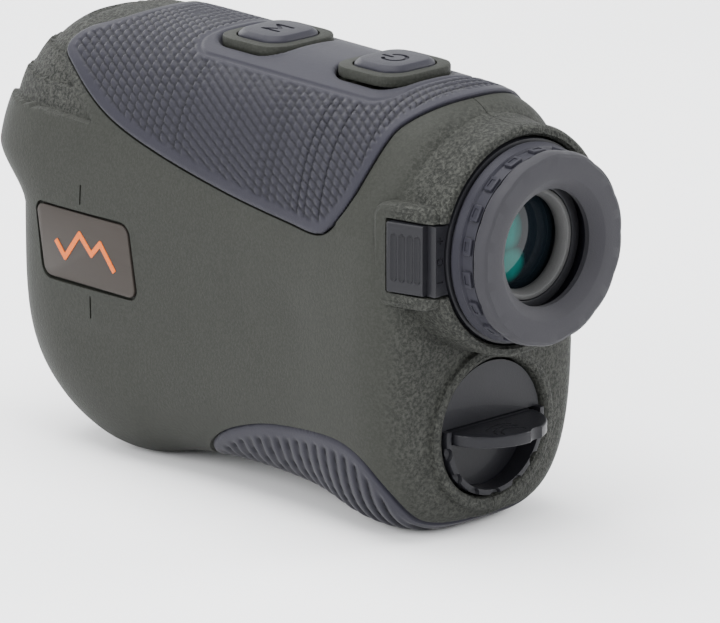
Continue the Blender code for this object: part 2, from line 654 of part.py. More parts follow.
def make_tab():
    """The half-moon tab, raised, with its eye on the hinge pin and a thumb notch in its rim."""
    hinge_y = -TAB_HINGE_BACK
    steps = 14
    shape = bmesh.new()
    points = []
    low_z = BORE_HEIGHT - TAB_THICKNESS / 2
    for k in range(steps + 1):
        turn = math.pi * k / steps
        reach = TAB_RADIUS * (1 - 0.1 * math.sin(turn))
        y = hinge_y - 0.72 - reach * math.sin(turn)
        points.append(shape.verts.new((reach * math.cos(turn), y, low_z)))
    face = shape.faces.new(points)
    pushed = bmesh.ops.extrude_face_region(shape, geom=[face])["geom"]
    moved = [item for item in pushed if isinstance(item, bmesh.types.BMVert)]
    bmesh.ops.translate(shape, verts=moved, vec=(0, 0, TAB_THICKNESS))
    tab = place("cap_tab", mesh_from(shape, "cap_tab"), CHARCOAL)
    knuckle = cross_rod("tab_knuckle", None, 1.08, -8.2, 8.2, hinge_y, BORE_HEIGHT, 20)
    boolean(tab, knuckle, "UNION")
    pin_way = cross_rod("tab_pin_way", None, 0.6, -20, 20, hinge_y, BORE_HEIGHT, 14)
    boolean(tab, pin_way, "DIFFERENCE")
    thumb = (2.4, hinge_y - 10.2, 0)
    notch = rod("tab_notch_cut", None, 2.6, BORE_HEIGHT - 5, BORE_HEIGHT + 5, thumb, "up", 24)
    boolean(tab, notch, "DIFFERENCE")


def make_fasteners():
    """Case screws, driven along -X from the right side."""
    for k, (y, z) in enumerate(SCREW_PLACES):
        head_end = SCREW_HEADS[k]
        head_start = head_end - SCREW_HEAD_HEIGHT
        tip = head_start - SHANK_LENGTH
        profile = [
            (0, tip), (SCREW_SHANK, tip), (SCREW_SHANK, head_start), (SCREW_HEAD, head_start),
            (SCREW_HEAD, head_end - 0.3), (SCREW_HEAD - 0.3, head_end), (0, head_end),
        ]
        screw = turned(f"case_screw_{k + 1}", STEEL, profile, (0, y, z), "up", closed=False, steps=16)
        screw.rotation_euler = (0, math.pi / 2, 0)


make_housing()
make_grips()
make_buttons()
make_badge()
make_eyepiece()
make_optics()
make_battery_side()
make_fasteners()
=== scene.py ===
import json
import math

import bmesh
import bpy
import numpy as np
from mathutils import Matrix, Vector, kdtree

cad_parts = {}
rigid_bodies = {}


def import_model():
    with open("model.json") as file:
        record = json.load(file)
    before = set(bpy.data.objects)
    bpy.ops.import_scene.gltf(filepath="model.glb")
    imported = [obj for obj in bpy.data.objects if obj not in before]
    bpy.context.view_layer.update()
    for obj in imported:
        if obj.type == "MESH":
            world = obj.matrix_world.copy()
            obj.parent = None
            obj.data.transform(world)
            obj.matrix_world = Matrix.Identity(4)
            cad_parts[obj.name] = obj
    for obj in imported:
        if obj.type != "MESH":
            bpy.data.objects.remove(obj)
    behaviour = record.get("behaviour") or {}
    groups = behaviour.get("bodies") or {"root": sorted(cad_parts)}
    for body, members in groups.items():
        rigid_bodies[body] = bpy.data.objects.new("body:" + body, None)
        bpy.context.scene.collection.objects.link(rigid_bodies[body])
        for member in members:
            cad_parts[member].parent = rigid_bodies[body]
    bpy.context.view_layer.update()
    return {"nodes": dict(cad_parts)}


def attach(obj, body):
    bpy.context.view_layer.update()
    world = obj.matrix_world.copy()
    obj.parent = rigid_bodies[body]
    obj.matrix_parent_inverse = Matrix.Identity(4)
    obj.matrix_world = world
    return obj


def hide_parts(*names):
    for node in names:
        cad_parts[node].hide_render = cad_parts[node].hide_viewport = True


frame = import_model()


# Studio: a pale paper floor under the standing device, in a white room with five soft lights round it.
# The camera looks at the device from behind its left side, a little above it, through a long lens.
# Every finish is built on the same two small classes, which write shader sums as Python expressions.
scene = bpy.context.scene
MM = 0.001
SPECULAR_LEVEL = 0.14
FLOOR_HALF = 3.0
FLOOR_DROP = 0.2 * MM
ROOM_COLOUR = (0.96, 0.98, 1.0, 1)
ROOM_STRENGTH = 1.45
LIGHT_TARGET = Vector((0, 0, 0.033))
CAMERA_BACK = Vector((-0.668, -0.691, 0.276)).normalized()
CAMERA_RIGHT = Vector((0.719, -0.695, 0)).normalized()
CAMERA_UP = CAMERA_BACK.cross(CAMERA_RIGHT).normalized()
BORE_MOUTH = Vector((0, -0.0392, 0.0153))
BORE_RIGHT_OF_MIDDLE = 0.01935
BORE_BELOW_MIDDLE = 0.01676
VIEW_DISTANCE = 1.15
VIEW_WIDTH = 0.1036
SENSOR = 36


class Wire:
    """One shader socket that can be added, multiplied and so on."""

    def __init__(self, finish, socket):
        self.finish = finish
        self.socket = socket

    def sum(self, operation, first, second):
        return self.finish.node("Math", {"operation": operation}, {0: first, 1: second})

    def __add__(self, other):
        return self.sum("ADD", self, other)

    def __sub__(self, other):
        return self.sum("SUBTRACT", self, other)

    def __rsub__(self, other):
        return self.sum("SUBTRACT", other, self)

    def __mul__(self, other):
        return self.sum("MULTIPLY", self, other)

    def __truediv__(self, other):
        return self.sum("DIVIDE", self, other)

    def __pow__(self, other):
        return self.sum("POWER", self, other)

    __radd__ = __add__
    __rmul__ = __mul__


class Finish:
    """One material, built up around its Principled shader."""

    def __init__(self, name, **constants):
        self.material = bpy.data.materials.new(name)
        self.material.use_nodes = True
        self.tree = self.material.node_tree
        self.shader = self.tree.nodes["Principled BSDF"]
        self.shader.inputs["Specular IOR Level"].default_value = SPECULAR_LEVEL
        for socket, value in constants.items():
            self.shader.inputs[socket.replace("_", " ")].default_value = value
        self.spot = self.node("TexCoord", output="Object")

    def node(self, kind, settings=None, sockets=None, output=0):
        made = self.tree.nodes.new("ShaderNode" + kind)
        for setting, value in (settings or {}).items():
            if setting == "stops":
                for stop, (position, colour) in zip(made.color_ramp.elements, value):
                    stop.position = position
                    stop.color = (*colour, 1)
            else:
                setattr(made, setting, value)
        for socket, value in (sockets or {}).items():
            if isinstance(value, Wire):
                self.tree.links.new(value.socket, made.inputs[socket])
            else:
                made.inputs[socket].default_value = value
        return Wire(self, made.outputs[output])

    def noise(self, size_mm, detail=2.0, roughness=0.5, stretch=None):
        """Noise from 0 to 1 with grains of about one size."""
        spot = self.spot
        if stretch:
            spot = self.node("Mapping", None, {"Vector": spot, "Scale": stretch})
        sockets = {"Vector": spot, "Scale": 1 / (size_mm * MM), "Detail": detail, "Roughness": roughness}
        return self.node("TexNoise", None, sockets)

    def blend(self, share, first, second):
        """A mix of two colours."""
        first = (*first, 1) if isinstance(first, tuple) else first
        second = (*second, 1) if isinstance(second, tuple) else second
        return self.node("Mix", {"data_type": "RGBA"}, {0: share, 6: first, 7: second}, 2)

    def step(self, value, low, high):
        """0 below low, 1 above high, smooth between."""
        return self.node(
            "MapRange", {"interpolation_type": "SMOOTHSTEP"},
            {"Value": value, "From Min": low, "From Max": high},
        )

    def axes(self):
        """The place's three coordinates in millimetres."""
        split = self.tree.nodes.new("ShaderNodeSeparateXYZ")
        self.tree.links.new(self.spot.socket, split.inputs[0])
        return [Wire(self, socket) * (1 / MM) for socket in split.outputs]

    def feed(self, socket, value):
        self.tree.links.new(value.socket, self.shader.inputs[socket])

    def relief(self, height, depth_mm):
        """Feeds a height from 0 to 1 to the normal."""
        sockets = {"Height": height, "Distance": depth_mm * MM, "Strength": 1.0}
        self.feed("Normal", self.node("Bump", None, sockets))

    def surface(self, grain, tone, dark, light, smooth, rough, depth_mm=0.0):
        """Two colours mixed by the tone, with roughness and relief from the grain."""
        self.feed("Base Color", self.blend(tone, dark, light))
        self.feed("Roughness", grain * (rough - smooth) + smooth)
        if depth_mm:
            self.relief(grain, depth_mm)


shape = bmesh.new()
bmesh.ops.create_grid(shape, x_segments=1, y_segments=1, size=FLOOR_HALF)
bmesh.ops.translate(shape, verts=shape.verts, vec=(0, 0, -FLOOR_DROP))
floor_mesh = bpy.data.meshes.new("studio_floor")
shape.to_mesh(floor_mesh)
shape.free()
floor = bpy.data.objects.new("studio_floor", floor_mesh)
scene.collection.objects.link(floor)
paper = Finish("pale_paper", Roughness=0.9)
paper.feed("Base Color", paper.blend(paper.noise(60), (0.86, 0.86, 0.87), (0.9, 0.9, 0.9)))
floor_mesh.materials.append(paper.material)

world = bpy.data.worlds.new("soft_room")
world.use_nodes = True
room = world.node_tree.nodes["Background"]
room.inputs["Color"].default_value = ROOM_COLOUR
room.inputs["Strength"].default_value = ROOM_STRENGTH
scene.world = world

for name, place, size, power in (
    ("overhead_softbox", (-0.1, 0.1, 0.9), 0.9, 18),
    ("left_softbox", (-1.0, 0.1, 0.5), 0.7, 12),
    ("rear_softbox", (-0.2, -1.1, 0.6), 0.6, 10),
    ("right_softbox", (0.9, -0.5, 0.5), 0.5, 9),
    ("front_softbox", (0.2, 1.2, 0.6), 0.7, 9),
):
    light = bpy.data.lights.new(name, "AREA")
    light.shape = "DISK"
    light.size = size
    light.energy = power
    lamp = bpy.data.objects.new(name, light)
    lamp.location = place
    lamp.rotation_euler = (LIGHT_TARGET - Vector(place)).to_track_quat("-Z", "Y").to_euler()
    scene.collection.objects.link(lamp)

camera = bpy.data.cameras.new("studio_camera")
camera.sensor_width = SENSOR
camera.lens = SENSOR * VIEW_DISTANCE / VIEW_WIDTH
camera.clip_start = 0.05
eye = bpy.data.objects.new("studio_camera", camera)
middle = BORE_MOUTH - BORE_RIGHT_OF_MIDDLE * CAMERA_RIGHT + BORE_BELOW_MIDDLE * CAMERA_UP
turn = Matrix((CAMERA_RIGHT, CAMERA_UP, CAMERA_BACK)).transposed().to_4x4()
eye.matrix_world = Matrix.Translation(middle + VIEW_DISTANCE * CAMERA_BACK) @ turn
scene.collection.objects.link(eye)
scene.camera = eye


# Housing: two injection moulded halves of olive-grey glass-filled plastic, screwed together on the middle
# plane. One closed form gets the eyepiece collar and the bore's lip, is hollowed and cut, and then halved.
STATIONS = np.array((
    (-38.4, 14.0, 4.6, 58.6), (-37.7, 16.8, 2.4, 61.2), (-35.6, 19.0, 0.7, 63.0), (-31.5, 19.9, -0.5, 64.0),
    (-24.0, 19.5, -0.5, 64.4), (-14.0, 18.8, 1.8, 64.7), (0.0, 18.7, 2.5, 65.0), (13.0, 19.0, 1.6, 65.2),
    (22.0, 19.4, -0.5, 65.3), (28.0, 19.6, -0.5, 65.3), (33.0, 19.6, 1.0, 65.1), (37.0, 19.3, 3.2, 64.4),
    (40.5, 18.4, 6.0, 61.6), (43.0, 16.8, 8.8, 57.6), (44.0, 14.8, 10.6, 54.8),
))
TOP_SQUARENESS = 2.7
BASE_SQUARENESS = 3.4
MIDDLE_Y = (STATIONS[0, 0] + STATIONS[-1, 0]) / 2
HALF_Y = (STATIONS[-1, 0] - STATIONS[0, 0]) / 2
WALL = 2.6
GAP = 0.3
GRIP_DEPTH = 1.3
EYE_HEIGHT = 44.2
BORE_HEIGHT = 15.3
RECEIVER_HEIGHT = 20.6
EYE_CENTRE = (0, 0, EYE_HEIGHT)
BORE_CENTRE = (0, 0, BORE_HEIGHT)
RECEIVER_CENTRE = (0, 0, RECEIVER_HEIGHT)
COLLAR_RADIUS = 19.2
COLLAR_NECK = 17
FLARE_START = 33.5
FLARE_LENGTH = 8.5
LIP_RADIUS = 13.6
EYE_RECESS_RADIUS = 15.3
BORE_MOUTH_RADIUS = 10.25
OBJECTIVE_RADIUS = 13.5
RECEIVER_RADIUS = 9.3
BUTTON_PLACES = {"mode": 5.9, "power": -18.5}
KEY_SIZE = (10.4, 9.6)
SURROUND_SIZE = (14.2, 13.2)
BADGE_CENTRE = (27, 32.3)
BADGE_SIZE = (20, 11)
BADGE_LEAN = 0.17
TICK_HALF = 0.15
TAB_HALF_HEIGHT = 5.2
TAB_SLOPE = 0.3
TAB_SLOPE_START = 37
STRAP_LOW = 27.6
STRAP_HIGH = 32.6
SCREWS = ((28, 60.2, 8.9), (-31, 60.0, 6.8), (30, 7, 14.6), (4, 8, 12.2), (-27.5, 29.8, 16.6))
SCREW_SINK_RADIUS = 1.85
SCREW_HEAD = 1.4
NOSE_REACH = 7
TERRACE_FOOT = 51.6
TERRACE_HEIGHT = 4.1
TERRACE_DEPTH = 0.62
TERRACE_TAPER = 0.5
CREASE_DEPTH = 0.45
TOP_GRIP_OUTLINE = (
    (24.0, 70.0), (30.0, 65.2), (35.6, 62.8), (36.8, 60.2), (33.0, 57.8), (23.5, 52.8),
    (12.0, 49.4), (-2.5, 46.5), (-15.0, 44.9), (-22.5, 44.6), (-26.5, 48.0), (-29.6, 53.5),
    (-31.4, 60.0), (-33.0, 70.0),
)
BASE_GRIP_OUTLINE = (
    (9.5, -3.0), (8.2, 3.2), (2.0, 8.6), (-7.0, 12.2), (-16.0, 13.8), (-25.5, 14.4),
    (-31.0, 12.6), (-34.6, 8.2), (-36.0, 3.4), (-36.4, -3.0),
)


def ease(value, low, high):
    """A smooth step from 0 to 1."""
    share = np.clip((value - low) / (high - low), 0, 1)
    return share * share * (3 - 2 * share)


def station_at(along):
    """The section at a place along the stations, on a smooth curve through them."""
    along = np.clip(along, 0, len(STATIONS) - 1)
    first = np.minimum(along.astype(int), len(STATIONS) - 2)
    share = (along - first)[..., None]
    padded = np.vstack((2 * STATIONS[0] - STATIONS[1], STATIONS, 2 * STATIONS[-1] - STATIONS[-2]))
    a, b, c, d = (padded[first + k] for k in range(4))
    curve = 2 * b + (c - a) * share + (2 * a - 5 * b + 4 * c - d) * share**2
    return (curve + (3 * b - a - 3 * c + d) * share**3) / 2


def nose_shift(y, z):
    """How far the lens housing at the upper front reaches past the rest of the front."""
    return NOSE_REACH * ease(z, 36, 45) * np.clip((y - 28) / 16, 0, 1) ** 1.5


def form_point(along, turn, inset):
    """A point of the outer form, moved in by inset. Turn runs round the section from the left side.
    One step before the first section and past the last one the outline closes on the end's middle."""
    y, half_width, low, high = np.moveaxis(station_at(along), -1, 0)
    shrink = np.clip(-along, 0, 1) + np.clip(along - len(STATIONS) + 1, 0, 1)
    across = -np.cos(turn)
    up = np.sin(turn)
    power = np.where(up > 0, 2 / TOP_SQUARENESS, 2 / BASE_SQUARENESS)
    x = (half_width - inset) * np.sign(across) * np.abs(across) ** power
    z = (low + high) / 2 + ((high - low) / 2 - inset) * np.sign(up) * np.abs(up) ** power
    x = x * (1 - shrink)
    z = z + ((low + high) / 2 - z) * shrink
    z = np.maximum(z, inset)
    inner_y = MIDDLE_Y + (y - MIDDLE_Y) * (HALF_Y - inset) / HALF_Y
    return np.stack((x, inner_y + nose_shift(y, z), z), -1)


def moulded_steps(point):
    """How far the surface is set back by the front's three terraces and the side's long crease."""
    x, y, z = np.moveaxis(point, -1, 0)
    border = np.interp(z, (51.3, 55.7, 59.7, 63.7, 65.5), (26.5, 32.4, 37.3, 37.4, 35.5))
    level = (z - TERRACE_FOOT) / TERRACE_HEIGHT
    step = TERRACE_DEPTH - TERRACE_TAPER * (level - np.floor(level))
    heights = ease(z, TERRACE_FOOT - 0.2, TERRACE_FOOT + 0.2) * ease(-z, -65.2, -64.4)
    terraces = step * ease(y - border, 0, 0.9) * heights
    crease = 20.5 + 14 * ease(-y, -26, 20)
    side = ease(np.abs(x), 12, 17) * ease(-y, -36, -22) * ease(y, -27, -16)
    fold = CREASE_DEPTH * ease(crease - z, -1.5, 1.5) * ease(z - crease, -17, -3) * side
    return terraces + fold


def blank_mesh(name, shape):
    """Turns a finished bmesh into a mesh."""
    mesh = bpy.data.meshes.new(name)
    shape.to_mesh(mesh)
    shape.free()
    return mesh


def stock(name, shape):
    """A working object made of a bmesh, for cutting and joining."""
    item = bpy.data.objects.new(name, blank_mesh(name, shape))
    scene.collection.objects.link(item)
    return item


def form(name, inset, rings, points, detailed):
    """The housing's closed outer form, a grid wrapped round the sections."""
    shape = bmesh.new()
    bmesh.ops.create_grid(shape, x_segments=rings, y_segments=points, size=1)
    grid = np.array([vertex.co for vertex in shape.verts])
    along = (grid[:, 0] + 1) / 2 * (len(STATIONS) + 1) - 1
    turn = np.round((grid[:, 1] + 1) / 2 * points) % points * (2 * math.pi / points)
    places = form_point(along, turn, inset)
    if detailed:
        places = form_point(along, turn, inset + moulded_steps(places))
    for vertex, place in zip(shape.verts, places):
        vertex.co = place
    bmesh.ops.remove_doubles(shape, verts=shape.verts, dist=0.0005)
    bmesh.ops.recalc_face_normals(shape, faces=shape.faces)
    return stock(name, shape)


def turned(profile, centre=(0, 0, 0), axis="back", steps=96, soft=0.0):
    """A turned shape from (radius, distance along the axis) points, with its sharp edges rounded."""
    shape = bmesh.new()
    points = [shape.verts.new((radius, 0, along)) for radius, along in profile]
    ring = points if profile[0][0] == 0 and profile[-1][0] == 0 else points + points[:1]
    edges = [shape.edges.new(pair) for pair in zip(ring, ring[1:])]
    bmesh.ops.spin(
        shape, geom=points + edges, cent=(0, 0, 0), axis=(0, 0, 1), angle=2 * math.pi, steps=steps,
        use_merge=True,
    )
    bmesh.ops.remove_doubles(shape, verts=shape.verts, dist=0.0005)
    bmesh.ops.recalc_face_normals(shape, faces=shape.faces)
    soften(shape, soft)
    lay = Matrix.Rotation(math.pi / 2, 4, "X") if axis == "back" else Matrix.Identity(4)
    if axis == "across":
        lay = Matrix.Rotation(math.pi / 2, 4, "Y")
    bmesh.ops.transform(shape, matrix=Matrix.Translation(centre) @ lay, verts=shape.verts)
    return shape


def rod(radius, low, high, centre=(0, 0, 0), axis="back", steps=96, soft=0.0):
    """A plain round bar between two places along its axis."""
    return turned([(0, low), (radius, low), (radius, high), (0, high)], centre, axis, steps, soft)


def soften(shape, width, segments=2, angle=35):
    """Rounds the edges that are sharper than an angle."""
    if width:
        sharp = [edge for edge in shape.edges if edge.calc_face_angle(0) > math.radians(angle)]
        bmesh.ops.bevel(
            shape, geom=sharp, offset=width, segments=segments, profile=0.5, affect="EDGES",
            material=-1, clamp_overlap=True,
        )


def block(low, high, corner=0.0, axis="z", soft=0.0, segments=6):
    """A box between two corners, with four edges rounded to a radius and then all edges softened."""
    shape = bmesh.new()
    size = [b - a for a, b in zip(low, high)]
    centre = [(a + b) / 2 for a, b in zip(low, high)]
    bmesh.ops.create_cube(shape, size=1, matrix=Matrix.Translation(centre) @ Matrix.Diagonal((*size, 1)))
    if corner:
        index = "xyz".index(axis)
        edges = [e for e in shape.edges if abs(e.verts[0].co[index] - e.verts[1].co[index]) > 0.001]
        bmesh.ops.bevel(
            shape, geom=edges, offset=corner, segments=segments, profile=0.5, affect="EDGES", material=-1,
        )
    soften(shape, soft)
    return shape


def cut(item, tools, operation="DIFFERENCE"):
    """Cuts, joins or crosses a working object with several shapes at once, and returns it."""
    kit = bpy.data.collections.new("tools")
    scene.collection.children.link(kit)
    for k, tool in enumerate(tools):
        piece = tool
        if isinstance(tool, bmesh.types.BMesh):
            piece = bpy.data.objects.new(f"tool_{k}", blank_mesh("tool", tool))
        else:
            scene.collection.objects.unlink(tool)
        kit.objects.link(piece)
    modifier = item.modifiers.new("cut", "BOOLEAN")
    modifier.operation = operation
    modifier.operand_type = "COLLECTION"
    modifier.collection = kit
    bpy.context.view_layer.update()
    made = bpy.data.meshes.new_from_object(item.evaluated_get(bpy.context.evaluated_depsgraph_get()))
    item.modifiers.clear()
    item.data = made
    for piece in list(kit.objects):
        bpy.data.objects.remove(piece)
    bpy.data.collections.remove(kit)
    return item


def outline_points(outline, steps=10):
    """A smooth closed curve through an outline's points."""
    points = np.array(outline)
    curve = []
    for k in range(len(points)):
        a, b, c, d = (points[(k + shift) % len(points)] for shift in (-1, 0, 1, 2))
        for share in np.arange(steps) / steps:
            bend = 2 * b + (c - a) * share + (2 * a - 5 * b + 4 * c - d) * share**2
            curve.append((bend + (3 * b - a - 3 * c + d) * share**3) / 2)
    return np.array(curve)


def side_block(outline, grow, reach=30):
    """A block through the housing along X, from a closed outline in (y, z), grown all round."""
    points = outline_points(outline)
    along = np.roll(points, -1, 0) - np.roll(points, 1, 0)
    along /= np.linalg.norm(along, axis=1)[:, None]
    area = np.sum(points[:, 0] * np.roll(points[:, 1], -1) - np.roll(points[:, 0], -1) * points[:, 1])
    outward = np.stack((along[:, 1], -along[:, 0]), -1) * np.sign(area)
    points = points + outward * grow
    shape = bmesh.new()
    face = shape.faces.new([shape.verts.new((-reach, y, z)) for y, z in points])
    pushed = bmesh.ops.extrude_face_region(shape, geom=[face])["geom"]
    moved = [item for item in pushed if isinstance(item, bmesh.types.BMVert)]
    bmesh.ops.translate(shape, verts=moved, vec=(2 * reach, 0, 0))
    bmesh.ops.recalc_face_normals(shape, faces=shape.faces)
    return shape


def badge_block(grow, low_x, high_x, soft=0.0):
    """The badge's leaning rounded outline, as a block in the left side."""
    y, z = BADGE_CENTRE
    half_y = BADGE_SIZE[0] / 2 + grow
    half_z = BADGE_SIZE[1] / 2 + grow
    shape = block((low_x, y - half_y, z - half_z), (high_x, y + half_y, z + half_z), 1.6 + grow, "x", soft)
    for vertex in shape.verts:
        vertex.co.y += (vertex.co.z - z) * BADGE_LEAN
    return shape


def finish_piece(name, made, finish, body, stands_for=(), sharp=35):
    """Takes a bmesh or a working object, brings it to metres, shades it, and says what it rides on
    and stands for."""
    if isinstance(made, bmesh.types.BMesh):
        mesh = blank_mesh(name, made)
    else:
        mesh = made.data.copy()
        bpy.data.objects.remove(made)
    mesh.transform(Matrix.Scale(MM, 4))
    mesh.name = name
    mesh.materials.clear()
    mesh.materials.append(finish.material)
    mesh.shade_smooth()
    mesh.set_sharp_from_angle(angle=math.radians(sharp))
    piece = bpy.data.objects.new(name, mesh)
    scene.collection.objects.link(piece)
    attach(piece, body)
    if stands_for:
        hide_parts(*stands_for)
    return piece


housing_finish = Finish("moulded_olive_housing")
x, y, z = housing_finish.axes()
fine = housing_finish.noise(0.42, 3, 0.7)
coarse = housing_finish.step(housing_finish.noise(0.5, 3, 0.7), 0.34, 0.68)
cloud = housing_finish.noise(14, 3)
front_zone = housing_finish.step(y, 26, 34) * housing_finish.step(z, 50.5, 52.5)
hood_zone = housing_finish.step(y, -34, -40)
rough_zone = housing_finish.node("Math", {"operation": "MAXIMUM"}, {0: front_zone, 1: hood_zone * 0.85})
skin = housing_finish.blend(cloud, (0.0112, 0.0120, 0.0096), (0.0146, 0.0156, 0.0126))
skin = housing_finish.blend(housing_finish.step(fine, 0.38, 0.66) * 0.45, skin, (0.0280, 0.0290, 0.0255))
speck = housing_finish.blend(coarse, (0.0050, 0.0055, 0.0050), (0.0440, 0.0450, 0.0400))
housing_finish.feed("Base Color", housing_finish.blend(rough_zone * 0.85, skin, speck))
housing_finish.feed("Roughness", fine * 0.2 + 0.5 + rough_zone * 0.1)
housing_finish.relief(fine * (1 - rough_zone * 0.6) * 0.6 + coarse * rough_zone, 0.16)

collar = [(0, 26), (COLLAR_RADIUS, 26), (COLLAR_RADIUS, FLARE_START)]
for k in range(1, 9):
    flare = (COLLAR_RADIUS - COLLAR_NECK) * (1 - math.sin(k * math.pi / 16)) ** 1.3
    collar.append((COLLAR_NECK + flare, FLARE_START + FLARE_LENGTH * k / 8))
collar += [(COLLAR_NECK, 43.7), (16.8, 44.3), (16.4, 44.6), (0, 44.6)]
lip = [(0, 31), (LIP_RADIUS, 31), (LIP_RADIUS, 37.4)]
angles = [k * math.pi / 12 for k in range(1, 7)]
lip += [(LIP_RADIUS - 1.5 * math.sin(angle), 39.0 - 1.2 * math.cos(angle)) for angle in angles]
lip += [(11.7, 39.2), (0, 39.2)]
housing_form = form("housing_form", 0, 150, 220, True)
tab_frame = block((-19.2, -44.0, EYE_HEIGHT - 7.6), (-12, -33.5, EYE_HEIGHT + 7.6), 2.4, "x", 0.9)
for vertex in tab_frame.verts:
    if vertex.co.x < -14:
        vertex.co.x -= TAB_SLOPE * min(0, vertex.co.y + TAB_SLOPE_START)
cut(housing_form, [turned(collar, EYE_CENTRE), turned(lip, BORE_CENTRE), tab_frame], "UNION")

eye_recess = [(0, 28), (EYE_RECESS_RADIUS, 28), (EYE_RECESS_RADIUS, 44.0), (15.7, 44.6), (16.1, 50), (0, 50)]
bore_mouth = [(0, 28), (BORE_MOUTH_RADIUS, 28), (BORE_MOUTH_RADIUS, 38.3), (10.5, 38.9), (11.1, 39.25)]
bore_mouth += [(14, 41), (0, 41)]
objective_hole = [(0, -60), (15.6, -60), (14.4, -50.6), (13.8, -49.8), (OBJECTIVE_RADIUS, -49)]
objective_hole += [(OBJECTIVE_RADIUS, -38.5), (0, -38.5)]
receiver_hole = [(0, -60), (9.9, -60), (9.9, -44.4), (9.5, -43.9), (RECEIVER_RADIUS, -43.4)]
receiver_hole += [(RECEIVER_RADIUS, -36), (0, -36)]
tab_low = EYE_HEIGHT - TAB_HALF_HEIGHT - GAP
tab_high = EYE_HEIGHT + TAB_HALF_HEIGHT + GAP
holes = [
    form("housing_inside", WALL, 60, 90, False),
    turned(eye_recess, EYE_CENTRE),
    turned(bore_mouth, BORE_CENTRE, steps=92),
    turned(objective_hole, EYE_CENTRE),
    turned(receiver_hole, RECEIVER_CENTRE, steps=88),
    badge_block(GAP, -25, -18.5),
    block((-25, -50, tab_low), (-11, -36, tab_high), 0.4, "x"),
    block((12.6, -37.2, STRAP_LOW), (30, -33.8, STRAP_HIGH), 0.9, "x"),
    block((12.6, -60, STRAP_LOW), (15, -33.9, STRAP_HIGH), 0.9, "y"),
]
for key_y in BUTTON_PLACES.values():
    half_x, half_y = KEY_SIZE[0] / 2 - 1.2, KEY_SIZE[1] / 2 - 1.2
    holes.append(block((-half_x, key_y - half_y, 55), (half_x, key_y + half_y, 72), 3.2))
for screw_y, screw_z, head_end in SCREWS:
    holes.append(rod(SCREW_SINK_RADIUS, head_end - SCREW_HEAD, 30, (0, screw_y, screw_z), "across", 40))
y, z = BADGE_CENTRE
for low, high in (
    ((y - TICK_HALF + 0.9, z + 6.8), (y + TICK_HALF + 0.9, z + 9.8)),
    ((y - TICK_HALF - 1.2, z - 10.2), (y + TICK_HALF - 1.2, z - 6.8)),
    ((y - 14.6, z - TICK_HALF), (y - 11.4, z + TICK_HALF)),
    ((y + 11.4, z - TICK_HALF), (y + 14.0, z + TICK_HALF)),
):
    holes.append(block((-25, *low), (-19.05, *high)))
for name, outline in (("top", TOP_GRIP_OUTLINE), ("base", BASE_GRIP_OUTLINE)):
    recess = stock(name + "_recess", side_block(outline, GAP))
    holes.append(cut(recess, [form(name + "_floor", GRIP_DEPTH + GAP, 110, 150, False)]))
cut(housing_form, holes)

SEAM = 0.06
for side, seam_x in (("left", -SEAM), ("right", SEAM)):
    half = bmesh.new()
    half.from_mesh(housing_form.data)
    sliced = bmesh.ops.bisect_plane(
        half, geom=half.verts[:] + half.edges[:] + half.faces[:], plane_co=(seam_x, 0, 0),
        plane_no=(math.copysign(1, seam_x), 0, 0), clear_inner=True,
    )
    rims = [item for item in sliced["geom_cut"] if isinstance(item, bmesh.types.BMEdge)]
    bmesh.ops.triangle_fill(half, edges=rims, use_beauty=True)
    bmesh.ops.recalc_face_normals(half, faces=half.faces)
    finish_piece(f"housing_{side}", half, housing_finish, "housing", [f"{side}_shell"], sharp=28)
bpy.data.objects.remove(housing_form)


# Grips: two slate rubber inlays moulded into the housing. The upper one has rows of slanted pads inside a
# smooth rim and a smooth panel round the keys; the lower one has slanted ribs.
KNURL_COLUMN = 1.57
KNURL_ROW = 1.3
KNURL_SLANT = 0.55
KNURL_DEPTH = 0.34
RIB_PITCH = 2.2
RIB_DEPTH = 0.5
RIM_WIDTH = 1.5
TOP_PROUD = 0.42
PANEL_CENTRE_Y = -6.3
PANEL_HALF = (9.7, 20.6)


def depth_inside(outline, y, z):
    """Distance inside a closed outline in (y, z), negative outside it."""
    curve = outline_points(outline)
    following = np.roll(curve, -1, 0)
    nearest = np.full(y.shape, 1e9)
    inside = np.zeros(y.shape, bool)
    for (ay, az), (by, bz) in zip(curve, following):
        span = (by - ay) ** 2 + (bz - az) ** 2
        share = np.clip(((y - ay) * (by - ay) + (z - az) * (bz - az)) / span, 0, 1)
        nearest = np.minimum(nearest, (y - ay - share * (by - ay)) ** 2 + (z - az - share * (bz - az)) ** 2)
        if az != bz:
            crosses = (az > z) != (bz > z)
            inside ^= crosses & (y < ay + (z - az) * (by - ay) / (bz - az))
    return np.where(inside, 1, -1) * np.sqrt(nearest)


def outside_panel(x, y, centre_y, half, corner):
    """Distance outside a rounded rectangle seen from above, negative inside it."""
    over_x = np.abs(x) - half[0] + corner
    over_y = np.abs(y - centre_y) - half[1] + corner
    outer = np.hypot(np.maximum(over_x, 0), np.maximum(over_y, 0))
    return outer + np.minimum(np.maximum(over_x, over_y), 0) - corner


